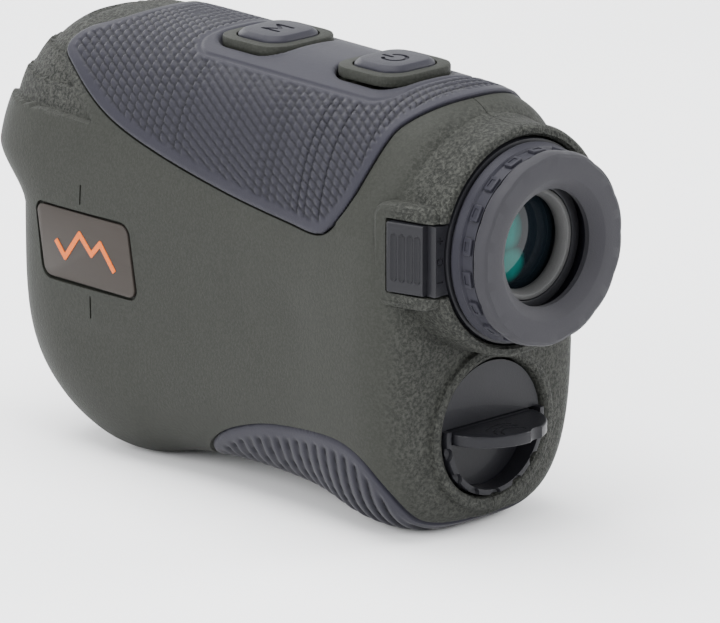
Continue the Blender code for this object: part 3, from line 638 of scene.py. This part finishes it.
def inlay(outline, span, turns, divisions, texture, key_holes):
    """A rubber inlay: the part of the housing's form inside an outline, raised by a texture."""
    shape = bmesh.new()
    bmesh.ops.create_grid(shape, x_segments=divisions[0], y_segments=divisions[1], size=1)
    grid = np.array([vertex.co for vertex in shape.verts])
    along = span[0] + (grid[:, 0] + 1) / 2 * (span[1] - span[0])
    turn = turns[0] + (grid[:, 1] + 1) / 2 * (turns[1] - turns[0])
    base = form_point(along, turn, 0)
    inward = form_point(along, turn, 1.0) - base
    x, y, z = base.T
    inside = depth_inside(outline, y, z)
    if key_holes:
        for key_y in BUTTON_PLACES.values():
            half = (SURROUND_SIZE[0] / 2 + GAP, SURROUND_SIZE[1] / 2 + GAP)
            inside = np.minimum(inside, outside_panel(x, y, key_y, half, 3.9))
    order = np.lexsort((grid[:, 0].round(5), grid[:, 1].round(5)))
    rows = base[order].reshape(divisions[1] + 1, divisions[0] + 1, 3)
    steps = np.linalg.norm(np.diff(rows, axis=0), axis=2)
    arcs = np.vstack((np.zeros(divisions[0] + 1), np.cumsum(steps, 0)))
    arcs = arcs - arcs[divisions[1] // 2]
    arc = np.empty(len(grid))
    arc[order] = arcs.ravel()
    pairs = np.array([[vertex.index for vertex in edge.verts] for edge in shape.edges])
    crossed = inside[pairs[:, 0]] * inside[pairs[:, 1]] < 0
    first, second = inside[pairs[crossed]].T
    share = (first / (first - second))[:, None]
    ends = base[pairs[crossed]]
    rim = ends[:, 0] + (ends[:, 1] - ends[:, 0]) * share
    tree = kdtree.KDTree(len(rim))
    for k, place in enumerate(rim):
        tree.insert(place, k)
    tree.balance()
    edge_near = set(pairs[crossed].ravel())
    # The raised layer keeps the texture's height, which later paints shade into the grip's valleys and a
    # lighter highlight on the tops.
    raised = shape.verts.layers.float.new("raised")
    push = shape.verts.layers.float_vector.new("push")
    spots = base.copy()
    distance = np.zeros(len(grid))
    for k in np.nonzero(inside > 0)[0]:
        distance[k] = tree.find(base[k])[2]
    for k in edge_near:
        if inside[k] <= 0:
            spots[k] = rim[tree.find(base[k])[1]]
    lift, height = texture(x, y, z, arc, distance)
    spots -= inward * lift[:, None]
    doomed = []
    for k, vertex in enumerate(shape.verts):
        vertex.co = spots[k]
        vertex[raised] = height[k]
        vertex[push] = inward[k]
        if inside[k] <= 0 and k not in edge_near:
            doomed.append(vertex)
    bmesh.ops.delete(shape, geom=doomed, context="VERTS")
    bmesh.ops.remove_doubles(shape, verts=shape.verts, dist=0.01)
    bmesh.ops.recalc_face_normals(shape, faces=shape.faces)
    probe = max(shape.faces, key=lambda face: abs(face.calc_center_median().x))
    if probe.normal.x * probe.calc_center_median().x < 0:
        bmesh.ops.reverse_faces(shape, faces=shape.faces)
    border = [edge for edge in shape.edges if edge.is_boundary]
    wall = bmesh.ops.extrude_edge_only(shape, edges=border)["geom"]
    for vertex in wall:
        if isinstance(vertex, bmesh.types.BMVert):
            vertex.co += Vector(vertex[push]) * (GRIP_DEPTH - 0.05)
    return shape


def pad_texture(x, y, z, arc, distance):
    """Lift and height of the upper grip; the height also paints shade into the valleys between the pads."""
    columns = np.minimum(np.abs(np.sin(np.pi * y / KNURL_COLUMN)) * 1.5, 1)
    rows = np.minimum(np.abs(np.sin(np.pi * (np.abs(arc) + KNURL_SLANT * y) / KNURL_ROW)) * 1.4, 1)
    panel = outside_panel(x, y, PANEL_CENTRE_Y, PANEL_HALF, 4) + np.where(z < 60, 50, 0)
    field = ease(distance, RIM_WIDTH, RIM_WIDTH + 0.5) * ease(panel, 0.5, 1.0)
    pads = columns * rows
    groove = 0.16 * (1 - ease(np.abs(panel), 0.1, 0.4)) * ease(distance, 0.6, 1.2)
    edge = TOP_PROUD * np.sqrt(np.clip(distance / 0.6, 0, 1) * (2 - np.clip(distance / 0.6, 0, 1)))
    return edge - field * (KNURL_DEPTH * (1 - pads) - 0.05) - groove, 1 - field * (1 - pads) * 0.9


def rib_texture(x, y, z, arc, distance):
    """Lift and height of the lower grip, whose rim stays flush; the height also paints shade into the valleys
    between the ribs.
    """
    ribs = np.abs(np.sin(np.pi * (y + 0.12 * np.abs(arc)) / RIB_PITCH)) ** 0.8
    field = ease(distance, RIM_WIDTH - 0.2, RIM_WIDTH + 1.2)
    edge = 0.35 * (1 - ease(distance, 0, 0.5))
    return -edge - field * RIB_DEPTH * (1 - ribs), 1 - field * (1 - ribs) * 0.9


grip_finish = Finish("slate_grip_rubber", Sheen_Weight=0.05, Sheen_Roughness=0.5)
grain = grip_finish.noise(0.25, 3, 0.6)
tone = grip_finish.noise(9, 2)
# Painted shade and highlight: the raised height mixes the colour from near black in the valleys between pads
# and ribs to the lighter mottled rubber on their tops and rims.
height = grip_finish.node("Attribute", {"attribute_name": "raised"}, output=2)
tone_and_top_highlight = grip_finish.blend(tone, (0.0088, 0.0084, 0.0138), (0.0115, 0.0110, 0.0172))
grip_finish.feed("Base Color", grip_finish.blend(height, (0.0040, 0.0040, 0.0060), tone_and_top_highlight))
grip_finish.feed("Roughness", grain * 0.14 + 0.46)
grip_finish.relief(grain, 0.03)
finish_piece(
    "upper_grip_inlay",
    inlay(TOP_GRIP_OUTLINE, (1.9, 12.4), (0.26, math.pi - 0.26), (280, 290), pad_texture, True),
    grip_finish, "housing", ["top_grip"], 60,
)
finish_piece(
    "lower_grip_inlay",
    inlay(
        BASE_GRIP_OUTLINE, (0.6, 8.6), (math.pi + 0.1, 2 * math.pi - 0.1), (230, 260), rib_texture, False,
    ),
    grip_finish, "housing", ["bottom_grip"], 60,
)


# Keys: two moulded rubber keys with a debossed sign each, in hard surrounds of the housing's plastic.
# They press small switches on a board under the top wall.
SURROUND_BASE = 64.0
SURROUND_TOP = 65.7
KEY_BASE = 64.8
KEY_SHOULDER = 65.85
KEY_TOP = 66.5
KEY_STEM_RADIUS = 2.2
KEY_STEM_END = 61.5
SIGN_DEPTH = 0.28
SIGN_WIDTH = 0.62


def strokes(points, width, low, high, centre_y):
    """Straight strokes between points seen from above, with round ends, as cutting blocks."""
    made = []
    for (ax, ay), (bx, by) in zip(points, points[1:]):
        length = math.hypot(bx - ax, by - ay)
        bar = block((-length / 2, -width / 2, low), (length / 2, width / 2, high))
        lay = Matrix.Translation(((ax + bx) / 2, (ay + by) / 2 + centre_y, 0))
        lay = lay @ Matrix.Rotation(math.atan2(by - ay, bx - ax), 4, "Z")
        bmesh.ops.transform(bar, matrix=lay, verts=bar.verts)
        made.append(bar)
    for x, y in points:
        made.append(rod(width / 2 * 1.02, low, high, (x, y + centre_y, 0), "up", 14))
    return made


ARC_RADIUS = 1.75
ARC_ANGLES = [math.radians(angle) for angle in range(130, 411, 20)]
POWER_ARC = [(ARC_RADIUS * math.cos(angle), ARC_RADIUS * math.sin(angle) - 0.1) for angle in ARC_ANGLES]
SIGNS = {
    "mode": [[(-1.5, -1.6), (-1.5, 1.6), (0, -0.5), (1.5, 1.6), (1.5, -1.6)]],
    "power": [POWER_ARC, [(0, 0.5), (0, 2.2)]],
}
key_finish = Finish("slate_key_rubber", Sheen_Weight=0.05, Sheen_Roughness=0.5)
grain = key_finish.noise(0.2, 3, 0.6)
tone = key_finish.noise(5)
key_finish.surface(grain, tone, (0.0084, 0.0081, 0.0128), (0.0108, 0.0105, 0.0160), 0.42, 0.57, 0.02)
for name, key_y in BUTTON_PLACES.items():
    half_x, half_y = SURROUND_SIZE[0] / 2, SURROUND_SIZE[1] / 2
    ring = stock("ring", block(
        (-half_x, key_y - half_y, SURROUND_BASE), (half_x, key_y + half_y, SURROUND_TOP), 3.8, soft=0.3,
    ))
    half_x, half_y = KEY_SIZE[0] / 2 + GAP, KEY_SIZE[1] / 2 + GAP
    cut(ring, [block((-half_x, key_y - half_y, 60), (half_x, key_y + half_y, 70), 3.3)])
    finish_piece(f"{name}_key_surround", ring, housing_finish, "housing", [f"{name}_button_surround"])
    half_x, half_y = KEY_SIZE[0] / 2, KEY_SIZE[1] / 2
    body = block((-half_x, key_y - half_y, KEY_BASE), (half_x, key_y + half_y, KEY_SHOULDER), 3.0, segments=8)
    top = max(body.faces, key=lambda face: face.calc_center_median().z)
    raised = bmesh.ops.extrude_face_region(body, geom=[top])["geom"]
    raised = [item for item in raised if isinstance(item, bmesh.types.BMVert)]
    bmesh.ops.delete(body, geom=[top], context="FACES_ONLY")
    bmesh.ops.translate(body, verts=raised, vec=(0, 0, KEY_TOP - KEY_SHOULDER))
    centre = Matrix.Translation((0, key_y, 0))
    bmesh.ops.scale(body, verts=raised, vec=(0.86, 0.85, 1), space=centre.inverted())
    bmesh.ops.recalc_face_normals(body, faces=body.faces)
    soften(body, 0.16, 2, 25)
    key = stock("key", body)
    signs = []
    for sign in SIGNS[name]:
        signs += strokes(sign, SIGN_WIDTH, KEY_TOP - SIGN_DEPTH, KEY_TOP + 1, key_y)
    for sign in signs:
        cut(key, [sign])
    cut(key, [rod(KEY_STEM_RADIUS, KEY_STEM_END, 65.5, (0, key_y, 0), "up", 32)], "UNION")
    finish_piece(f"{name}_key", key, key_finish, f"{name}_button", [f"{name}_button"], 25)


# Badge: a thin plate with a warm grey metal look, glued into a recess in the left side. A plain orange
# ridge line is printed on it.
badge_finish = Finish("badge_plate_finish", Metallic=0.25)
streaks = badge_finish.noise(0.5, 2, 0.5, (1, 0.08, 1))
badge_finish.surface(
    streaks, streaks, (0.026, 0.022, 0.0195), (0.034, 0.029, 0.0255), 0.36, 0.56, 0.008,
)
plate = badge_block(-0.15, -19.3, -18.6, 0.12)
finish_piece("badge_plate", plate, badge_finish, "housing", ["side_badge"])
mark_finish = Finish("orange_print", Coat_Weight=0.2, Coat_Roughness=0.2)
ink = mark_finish.noise(0.8, 3)
mark_finish.surface(ink, ink, (0.38, 0.070, 0.002), (0.46, 0.090, 0.004), 0.35, 0.55)
y, z = BADGE_CENTRE
INK_THICK = 0.14
INK_HALF_WIDTH = 0.42
PLATE_FACE = -19.28
RIDGE = [(-6.2, -1.9), (-3.3, 1.6), (-1.4, -0.4), (1.2, 2.2), (4.4, -1.9), (6.2, 0.2)]
bars = []
for (ay, az), (by, bz) in zip(RIDGE, RIDGE[1:]):
    length = math.hypot(by - ay, bz - az)
    bar = block(
        (-INK_THICK, -length / 2 - 0.3, -INK_HALF_WIDTH), (0, length / 2 + 0.3, INK_HALF_WIDTH), soft=0.05,
    )
    lay = Matrix.Translation((PLATE_FACE, y + (ay + by) / 2, z + (az + bz) / 2))
    lay = lay @ Matrix.Rotation(math.atan2(bz - az, by - ay), 4, "X")
    bmesh.ops.transform(bar, matrix=lay, verts=bar.verts)
    bars.append(bar)
mark = cut(stock("mark", bars[0]), bars[1:], "UNION")
finish_piece("badge_ridge_mark", mark, mark_finish, "housing", ["badge_mark"])


# Eyepiece: a fixed flange and sleeve, a rubber-faced ring that turns to focus, its eyecup, and the black
# ocular cell that slides inside with its two lenses, held by a plain metal ring.
PAD_COUNT = 18
LOBE_COUNT = 14
LOBE_DEPTH = 0.013
black_finish = Finish("black_moulding", Coat_Weight=0.15, Coat_Roughness=0.25)
grain = black_finish.noise(0.3, 3, 0.6)
black_finish.surface(grain, grain, (0.010, 0.010, 0.012), (0.019, 0.019, 0.021), 0.26, 0.46, 0.015)
charcoal_finish = Finish("charcoal_moulding", Coat_Weight=0.05)
grain = charcoal_finish.noise(0.28, 3, 0.65)
tone = charcoal_finish.noise(7, 2)
charcoal_finish.surface(grain, tone, (0.0055, 0.0055, 0.0070), (0.0085, 0.0085, 0.0105), 0.34, 0.54, 0.025)
finish_piece(
    "eyepiece_fixed_flange",
    turned([(15.0, 40.2), (15.0, 44.4), (12.6, 44.4), (12.6, 40.2)], EYE_CENTRE, steps=128, soft=0.35),
    charcoal_finish, "housing", ["eyepiece_flange"],
)
ring = turned([
    (11.4, 40.6), (12.2, 40.6), (12.2, 44.8), (14.55, 44.8), (14.6, 45.1), (14.15, 46.05), (14.25, 46.15),
    (14.05, 46.3), (13.75, 46.45), (13.75, 48.35), (11.4, 48.35),
], EYE_CENTRE, steps=144, soft=0.08)
for k in range(PAD_COUNT):
    pad = block((-1.25, 13.3, 46.62), (1.25, 14.2, 48.2), 0.3, "y", 0.18, 3)
    hollow = block((-0.7, 14.06, 47.0), (0.7, 14.6, 47.82), 0.15, "y", 0, 3)
    work = cut(stock("pad", pad), [hollow])
    lay = Matrix.Translation(EYE_CENTRE) @ Matrix.Rotation(math.pi / 2, 4, "X")
    work.data.transform(lay @ Matrix.Rotation(2 * math.pi * k / PAD_COUNT, 4, "Z"))
    ring.from_mesh(work.data)
    bpy.data.objects.remove(work)
finish_piece("dioptre_turning_ring", ring, key_finish, "dioptre", ["dioptre_ring"], 30)

cup = turned([
    (10.9, 48.65), (13.9, 48.65), (14.2, 49.0), (14.25, 49.5), (14.2, 50.3), (13.95, 50.8), (13.5, 51.0),
    (12.0, 51.0), (10.55, 51.0), (10.3, 50.93), (8.85, 49.75), (8.6, 49.5), (8.6, 48.65),
], EYE_CENTRE, steps=168)
for vertex in cup.verts:
    across, up = vertex.co.x, vertex.co.z - EYE_HEIGHT
    radius = math.hypot(across, up)
    lobe = abs(math.sin(LOBE_COUNT / 2 * math.atan2(up, across))) ** 0.9
    factor = 1 - LOBE_DEPTH * (1 - lobe) * ease(radius, 12.2, 13.9)
    vertex.co.x = across * factor
    vertex.co.z = EYE_HEIGHT + up * factor
cup_finish = Finish("eyecup_rubber", Sheen_Weight=0.06, Sheen_Roughness=0.4)
grain = cup_finish.noise(0.22, 3, 0.6)
tone = cup_finish.noise(6)
cup_finish.surface(grain, tone, (0.0165, 0.0160, 0.0190), (0.0205, 0.0200, 0.0235), 0.52, 0.68, 0.03)
finish_piece("rubber_eyecup", cup, cup_finish, "dioptre", ["eyecup"], 24)

cell = turned([
    (9.7, 29), (9.7, 46.4), (8.3, 46.4), (8.3, 41.0), (7.6, 41.0), (7.6, 36.0), (8.3, 36.0), (8.3, 29),
], EYE_CENTRE, steps=96, soft=0.12)
finish_piece("ocular_barrel", cell, black_finish, "ocular", ["ocular_cell"])
steel_finish = Finish("turned_metal", Metallic=1.0)
streak = steel_finish.noise(0.15, 3, 0.6)
steel_finish.surface(streak, streak, (0.50, 0.50, 0.50), (0.66, 0.66, 0.66), 0.22, 0.47, 0.01)
ring_finish = Finish("blasted_aluminium", Metallic=0.35)
grain = ring_finish.noise(0.16, 3, 0.7)
ring_finish.surface(grain, grain, (0.05, 0.05, 0.05), (0.10, 0.10, 0.10), 0.45, 0.65, 0.03)
lock_ring = [(8.15, 44.3), (8.15, 46.3), (7.5, 46.3), (6.9, 45.2), (6.9, 44.3)]
lock_ring = turned(lock_ring, EYE_CENTRE, steps=96, soft=0.08)
finish_piece("ocular_lock_ring", lock_ring, ring_finish, "ocular", ["ocular_retaining_ring"])


def lens_shape(radius, start, end, bulge, centre):
    """A biconvex lens with ground edges, between two planes across its axis."""
    rings = 14
    front = [(radius * k / rings, start + bulge * (k / rings) ** 2) for k in range(rings + 1)]
    rear = [(radius * k / rings, end - bulge * (k / rings) ** 2) for k in range(rings, -1, -1)]
    return turned(front + rear, centre, steps=72)


def glass_finish(name, deep, bright, side, height):
    """Dark coated glass with a brighter lobed patch where the coating catches the light."""
    finish = Finish(name, Roughness=0.05, Coat_Weight=0.15, Coat_Roughness=0.02)
    x, y, z = finish.axes()
    lobes = []
    for patch_x, patch_z, reach in ((side, height + 2.0, 11.0), (side + 0.6, height - 3.2, 6.5)):
        over = (x - patch_x) ** 2 / 7.5 + (z - patch_z) ** 2 / reach
        lobes.append(1 - finish.step(over, 0.15, 1.45))
    shine = finish.node("Math", {"operation": "MAXIMUM"}, {0: lobes[0], 1: lobes[1]})
    shine = shine * (finish.noise(1.6, 2, 0.5, (1, 1, 0.45)) * 0.9 + 0.45)
    finish.feed("Base Color", finish.blend(shine, deep, bright))
    return finish


eye_glass = glass_finish("green_coated_glass", (0.004, 0.006, 0.008), (0.003, 0.075, 0.066), -2.4, EYE_HEIGHT)
for name, start, end, stands_for in (
    ("eye_side_lens", 41.3, 44.0, "eye_lens"), ("field_side_lens", 32.6, 35.7, "field_lens"),
):
    lens = lens_shape(8.0, start, end, 0.9, EYE_CENTRE)
    finish_piece(name, lens, eye_glass, "ocular", [stands_for], 50)


# Index tab: the charcoal tongue of the flange that fills the notch in the collar's left side. Its outer
# face has four finger grooves, and its rear face the signs that the dioptre ring is read against.
TAB_REAR = -44.2
SIGN_REACH = 0.55
SIGN_STROKE = 0.12
tab = stock("tab", block(
    (-19.4, TAB_REAR, EYE_HEIGHT - TAB_HALF_HEIGHT), (-11.3, -36.6, EYE_HEIGHT + TAB_HALF_HEIGHT), soft=0.3,
))
ring_way = rod(EYE_RECESS_RADIUS, 30, 50, EYE_CENTRE, steps=120)
cut(tab, [ring_way, block((-26, -52, EYE_HEIGHT - 8), (-16.9, -42.4, EYE_HEIGHT + 8))])
groove = [(0, -3.9), (0.55, -3.2), (0.55, 3.2), (0, 3.9)]
for groove_y in (-37.9, -39.15, -40.4, -41.55):
    cut(tab, [turned(groove, (-19.6, groove_y, EYE_HEIGHT), "up", 20)])
for sign_z, kind in ((3.0, "plus"), (0.0, "zero"), (-3.0, "minus")):
    x, z = -16.1, EYE_HEIGHT + sign_z
    if kind == "zero":
        loop = [(0.42, -0.15), (0.62, -0.15), (0.62, 0.15), (0.42, 0.15)]
        bars = [turned(loop, (x, TAB_REAR, z), steps=20)]
    else:
        reaches = [(SIGN_REACH, SIGN_STROKE)] + [(SIGN_STROKE, SIGN_REACH)] * (kind == "plus")
        bars = [block((x - a, TAB_REAR - 0.2, z - b), (x + a, TAB_REAR + 0.15, z + b)) for a, b in reaches]
    for bar in bars:
        cut(tab, [bar])
for vertex in tab.data.vertices:
    if vertex.co.x < -17.2:
        vertex.co.x -= TAB_SLOPE * min(0, vertex.co.y + TAB_SLOPE_START)
finish_piece("index_tab", tab, charcoal_finish, "housing", ["dioptre_index_tab"], 25)


# Front optics: the objective over the receiver lens, each in a black cell behind a stepped black bezel.
BEZEL_GAP = 0.06
front_glass = glass_finish(
    "violet_coated_glass", (0.006, 0.004, 0.010), (0.055, 0.016, 0.075), 3.0, EYE_HEIGHT,
)
receiver_glass = glass_finish(
    "amber_coated_glass", (0.008, 0.004, 0.004), (0.085, 0.020, 0.010), 2.2, RECEIVER_HEIGHT,
)


def bezel_shape(radius, front, back, start, rings, widening, pitch, mouth, centre, steps):
    """A black lens cell's outer ring, which widens towards the front in small steps."""
    inner = start[0] - 0.1
    profile = [(radius - BEZEL_GAP, front), (radius - BEZEL_GAP, back), (inner, back), (inner, start[1])]
    for k in range(rings):
        rise = widening * k
        profile += [(start[0] + rise, start[1] - pitch * k)]
        profile += [(start[0] + widening + rise, start[1] - 0.4 - pitch * k)]
    profile += [mouth]
    return turned(profile, centre, steps=steps, soft=0.06)


objective_ring = bezel_shape(
    OBJECTIVE_RADIUS, -49.3, -41.0, (11.1, -44.2), 5, 0.28, 1.0, (12.6, -49.4), EYE_CENTRE, 112,
)
receiver_ring = bezel_shape(
    RECEIVER_RADIUS, -43.8, -37.0, (7.5, -40.0), 3, 0.3, 1.1, (8.5, -43.8), RECEIVER_CENTRE, 96,
)
objective_glass = lens_shape(11.0, -40.7, -37.3, 1.0, EYE_CENTRE)
window_glass = lens_shape(7.6, -36.7, -33.3, 1.0, RECEIVER_CENTRE)
for name, ring, lens, finish in (
    ("objective", objective_ring, objective_glass, front_glass),
    ("receiver", receiver_ring, window_glass, receiver_glass),
):
    finish_piece(
        f"{name}_front_bezel", ring, black_finish, "housing", [f"{name}_bezel"], 25,
    )
    finish_piece(f"{name}_front_lens", lens, finish, "housing", [f"{name}_lens"], 50)


# Battery bay: a glossy black moulded tube held between the housing halves. Its front end has a hole for
# the contact, and its mouth a coarse thread for the cap.
THREAD_PITCH = 1.5
THREAD_RADIUS = 9.0


def thread(name, radius, wire, start, turns, taper):
    """A round ridge wound along the bore, fading out at both ends."""
    steps = 72
    curve = bpy.data.curves.new(name, "CURVE")
    curve.dimensions = "3D"
    curve.bevel_depth = 1.0
    curve.bevel_resolution = 2
    curve.use_fill_caps = True
    path = curve.splines.new("POLY")
    count = int(turns * steps)
    path.points.add(count)
    for k, point in enumerate(path.points):
        angle = 2 * math.pi * k / steps
        back = start + THREAD_PITCH * k / steps
        point.co = (radius * math.cos(angle), -back, BORE_HEIGHT + radius * math.sin(angle), 1)
        point.radius = wire * min(1, (k + 3) / taper, (count - k + 3) / taper)
    drawn = bpy.data.objects.new(name, curve)
    scene.collection.objects.link(drawn)
    bpy.context.view_layer.update()
    made = bpy.data.meshes.new_from_object(drawn.evaluated_get(bpy.context.evaluated_depsgraph_get()))
    bpy.data.objects.remove(drawn)
    shape = bmesh.new()
    shape.from_mesh(made)
    bmesh.ops.remove_doubles(shape, verts=shape.verts, dist=0.0001)
    bmesh.ops.recalc_face_normals(shape, faces=shape.faces)
    return shape


tube = stock("tube", turned([
    (9.6, 0.2), (9.6, 29), (10.15, 29), (10.15, 34.6), (9.9, 34.9), (9.35, 34.6), (9.2, 34.4),
    (9.2, 30.4), (8.1, 30.4), (8.1, 1.5), (4.0, 1.5), (4.0, 0.2),
], BORE_CENTRE, steps=96))
cut(tube, [thread("tube_groove", THREAD_RADIUS, 0.62, 30.7, 4, 12)])
gloss_finish = Finish("gloss_black_moulding", Coat_Weight=0.6, Coat_Roughness=0.08)
grain = gloss_finish.noise(1.2, 2)
gloss_finish.surface(grain, grain, (0.008, 0.008, 0.009), (0.014, 0.014, 0.015), 0.12, 0.24)
finish_piece("battery_bay_tube", tube, gloss_finish, "housing", ["battery_tube"], 30)


# Battery cap: a charcoal screw cap with a half-moon tab on a steel pin. The tab folds into a half-round
# seat in the cap's face, and a rubber ring and a short thread sit behind the flange.
CAP_FACE = 38.3
CAP_RIM = 39.5
TAB_PIN = 37.6
TAB_PLAY = 1.3
SEAT_RADIUS = 9.05
PIN_CENTRE = (0, -TAB_PIN, BORE_HEIGHT)
SCOOP_COUNT = 7
FIRST_SCOOP = -168
SCOOP_STEP = 26
SCOOP_RING = 10.1
cap = stock("cap", turned([
    (0, 34), (7.2, 34), (7.2, 31), (8.4, 31), (9.0, 31.6), (9.0, 36.6), (9.9, 36.6),
    (9.9, CAP_RIM), (0, CAP_RIM),
], BORE_CENTRE, steps=128, soft=0.22))
seat = stock("seat", rod(SEAT_RADIUS, TAB_PIN - TAB_PLAY, 45, BORE_CENTRE, steps=110))
cut(seat, [block((-20, -50, -20), (20, 0, BORE_HEIGHT + TAB_PLAY))], "INTERSECT")
cut(cap, [block((-20, -45, BORE_HEIGHT + TAB_PLAY - 0.05), (20, -CAP_FACE, 40)), seat])
cut(cap, [rod(0.6, -20, 20, PIN_CENTRE, "across", 24)])
for k in range(SCOOP_COUNT):
    angle = math.radians(FIRST_SCOOP + SCOOP_STEP * k)
    centre = (SCOOP_RING * math.cos(angle), 0, BORE_HEIGHT + SCOOP_RING * math.sin(angle))
    cut(cap, [turned([(0, 38.6), (0.9, 38.9), (1.25, 40), (1.25, 44), (0, 44)], centre, steps=24)])
cap_shape = bmesh.new()
cap_shape.from_mesh(cap.data)
cap_shape.from_mesh(blank_mesh("ridge", thread("cap_ridge", THREAD_RADIUS, 0.36, 32.2, 2, 14)))
bpy.data.objects.remove(cap)
finish_piece("battery_screw_cap", cap_shape, charcoal_finish, "cap", ["battery_cap"], 30)

TAB_REACH = 8.6
TAB_THICK = 1.8
WAVE_COUNT = 3
WAVE_PITCH = 1.05
WAVE_WIDTH = 0.36
moon = bmesh.new()
bmesh.ops.create_circle(moon, cap_ends=True, radius=TAB_REACH, segments=96)
bmesh.ops.bisect_plane(
    moon, geom=moon.verts[:] + moon.edges[:] + moon.faces[:], plane_co=(0, 0, 0), plane_no=(0, 1, 0),
    clear_outer=True,
)
for vertex in moon.verts:
    vertex.co.y = vertex.co.y * 0.9 - 0.72
pushed = bmesh.ops.extrude_face_region(moon, geom=moon.faces[:])["geom"]
pushed = [item for item in pushed if isinstance(item, bmesh.types.BMVert)]
bmesh.ops.translate(moon, verts=pushed, vec=(0, 0, TAB_THICK))
bmesh.ops.translate(moon, verts=moon.verts, vec=(0, -TAB_PIN, BORE_HEIGHT - TAB_THICK / 2))
bmesh.ops.recalc_face_normals(moon, faces=moon.faces)
soften(moon, 0.3, 3)
tab = stock("tab", moon)
cut(tab, [rod(1.08, -8.2, 8.2, PIN_CENTRE, "across", 48, 0.15)], "UNION")
cut(tab, [rod(0.6, -20, 20, PIN_CENTRE, "across", 24)])
notch = [(0, 0), (3.0, 0), (2.6, BORE_HEIGHT - 0.6), (2.6, BORE_HEIGHT + 0.6), (3.0, 30), (0, 30)]
cut(tab, [turned(notch, (2.4, -TAB_PIN - 10.2, 0), "up", 60)])
for k in range(WAVE_COUNT):
    inner = 2.0 + WAVE_PITCH * k
    outer = inner + WAVE_WIDTH
    wave = stock("wave", turned(
        [(inner, -0.22), (outer, -0.22), (outer, 0.3), (inner, 0.3)],
        (-1.2, -TAB_PIN - 7.2, BORE_HEIGHT + TAB_THICK / 2), "up", 60,
    ))
    low = (-4.2, -TAB_PIN - 7.0, BORE_HEIGHT)
    cut(wave, [block(low, (1.2, -TAB_PIN - 1.6, BORE_HEIGHT + 3))], "INTERSECT")
    cut(tab, [wave])
finish_piece("cap_half_moon_tab", tab, charcoal_finish, "cap_tab", ["cap_tab"], 30)
pin = rod(0.4, -9.6, 9.6, PIN_CENTRE, "across", 32, 0.1)
finish_piece("cap_steel_pin", pin, steel_finish, "cap", ["tab_hinge_pin"])
angles = [k * math.pi / 8 for k in range(16)]
ring = [(9.55 + 0.35 * math.cos(angle), 35.95 + 0.35 * math.sin(angle)) for angle in angles]
seal = turned(ring, BORE_CENTRE, steps=96)
finish_piece("cap_rubber_seal", seal, key_finish, "cap", ["cap_seal"], 60)


# Battery: a small lithium cell with a steel can, in a shrunk plastic sleeve with plain warm bands and a
# white plus sign near its raised end, which goes into the bay first.
cell = turned([
    (0, 1.8), (2.9, 1.8), (3.2, 2.1), (3.2, 2.6), (6.6, 2.6), (7.3, 2.75), (7.8, 3.3),
    (7.8, 28.1), (7.4, 28.55), (6.2, 28.6), (0, 28.6),
], BORE_CENTRE, steps=96, soft=0.1)
sleeve_finish = Finish("battery_sleeve_finish", Coat_Weight=0.4, Coat_Roughness=0.12)
x, y, z = sleeve_finish.axes()
band = sleeve_finish.step(y, -9.4, -9.2)
halves = sleeve_finish.step(x + z * 0.6, 9.3, 9.5)
mottle = sleeve_finish.step(sleeve_finish.noise(2.6, 4, 0.65), 0.48, 0.56)
brown = sleeve_finish.blend(mottle, (0.36, 0.25, 0.17), (0.16, 0.06, 0.03))
amber = sleeve_finish.blend(mottle, (0.62, 0.26, 0.03), (0.42, 0.12, 0.015))
sides = sleeve_finish.blend(halves, brown, amber)
sides = sleeve_finish.blend(band, sides, (0.75, 0.20, 0.035))
radius = (x * x + (z - BORE_HEIGHT) * (z - BORE_HEIGHT)) ** 0.5
across = (x + 3.2) ** 2
along = (y + 6.6) ** 2
cross = sleeve_finish.node("Math", {"operation": "MINIMUM"}, {0: across, 1: along})
sign = (1 - sleeve_finish.step(cross, 0.06, 0.1)) * (1 - sleeve_finish.step(across + along, 1.5, 1.6))
sides = sleeve_finish.blend(sign, sides, (0.85, 0.84, 0.80))
ends = 1 - sleeve_finish.step(radius, 6.5, 6.6)
sleeve_finish.feed("Base Color", sleeve_finish.blend(ends, sides, (0.62, 0.62, 0.60)))
sleeve_finish.feed("Metallic", ends)
sleeve_finish.feed("Roughness", sleeve_finish.noise(0.9, 2) * 0.14 + 0.24)
finish_piece("sleeved_battery", cell, sleeve_finish, "battery", ["battery"], 30)


# Inside: prisms, boards, laser, contacts and screws are hidden by the closed housing. They keep their plain
# shapes and get the finishes of clear glass, coated board, bright metal and black plastic.
board_finish = Finish("circuit_board_finish", Coat_Weight=0.3, Coat_Roughness=0.3)
tracks = board_finish.node(
    "TexBrick", None, {"Vector": board_finish.spot, "Scale": 420.0, "Mortar Size": 0.012, "Bias": 0.0},
)
tracks = board_finish.node("RGBToBW", None, {0: tracks})
board_finish.feed("Base Color", board_finish.blend(tracks, (0.010, 0.075, 0.030), (0.030, 0.150, 0.060)))
board_finish.feed("Roughness", board_finish.noise(0.6, 2) * 0.2 + 0.35)
prism_finish = Finish("clear_prism_glass", Roughness=0.05, Coat_Weight=1.0)
tone = prism_finish.noise(9)
prism_finish.feed("Base Color", prism_finish.blend(tone, (0.05, 0.08, 0.08), (0.09, 0.13, 0.12)))
for finish, names in (
    (steel_finish, ["front_contact", "cap_contact", "cap_spring"]),
    (steel_finish, ["photodiode", "laser_holder", "laser_diode"]),
    (steel_finish, [f"case_screw_{k + 1}" for k in range(len(SCREWS))]),
    (board_finish, ["button_board", "detector_board", "main_board"]),
    (prism_finish, ["roof_prism", "half_prism", "display_cell"]),
    (black_finish, ["mode_switch", "power_switch", "eyepiece_sleeve", "objective_cell", "receiver_cell"]),
    (black_finish, ["prism_holder"]),
):
    for name in names:
        mesh = frame["nodes"][name].data
        mesh.materials.clear()
        mesh.materials.append(finish.material)
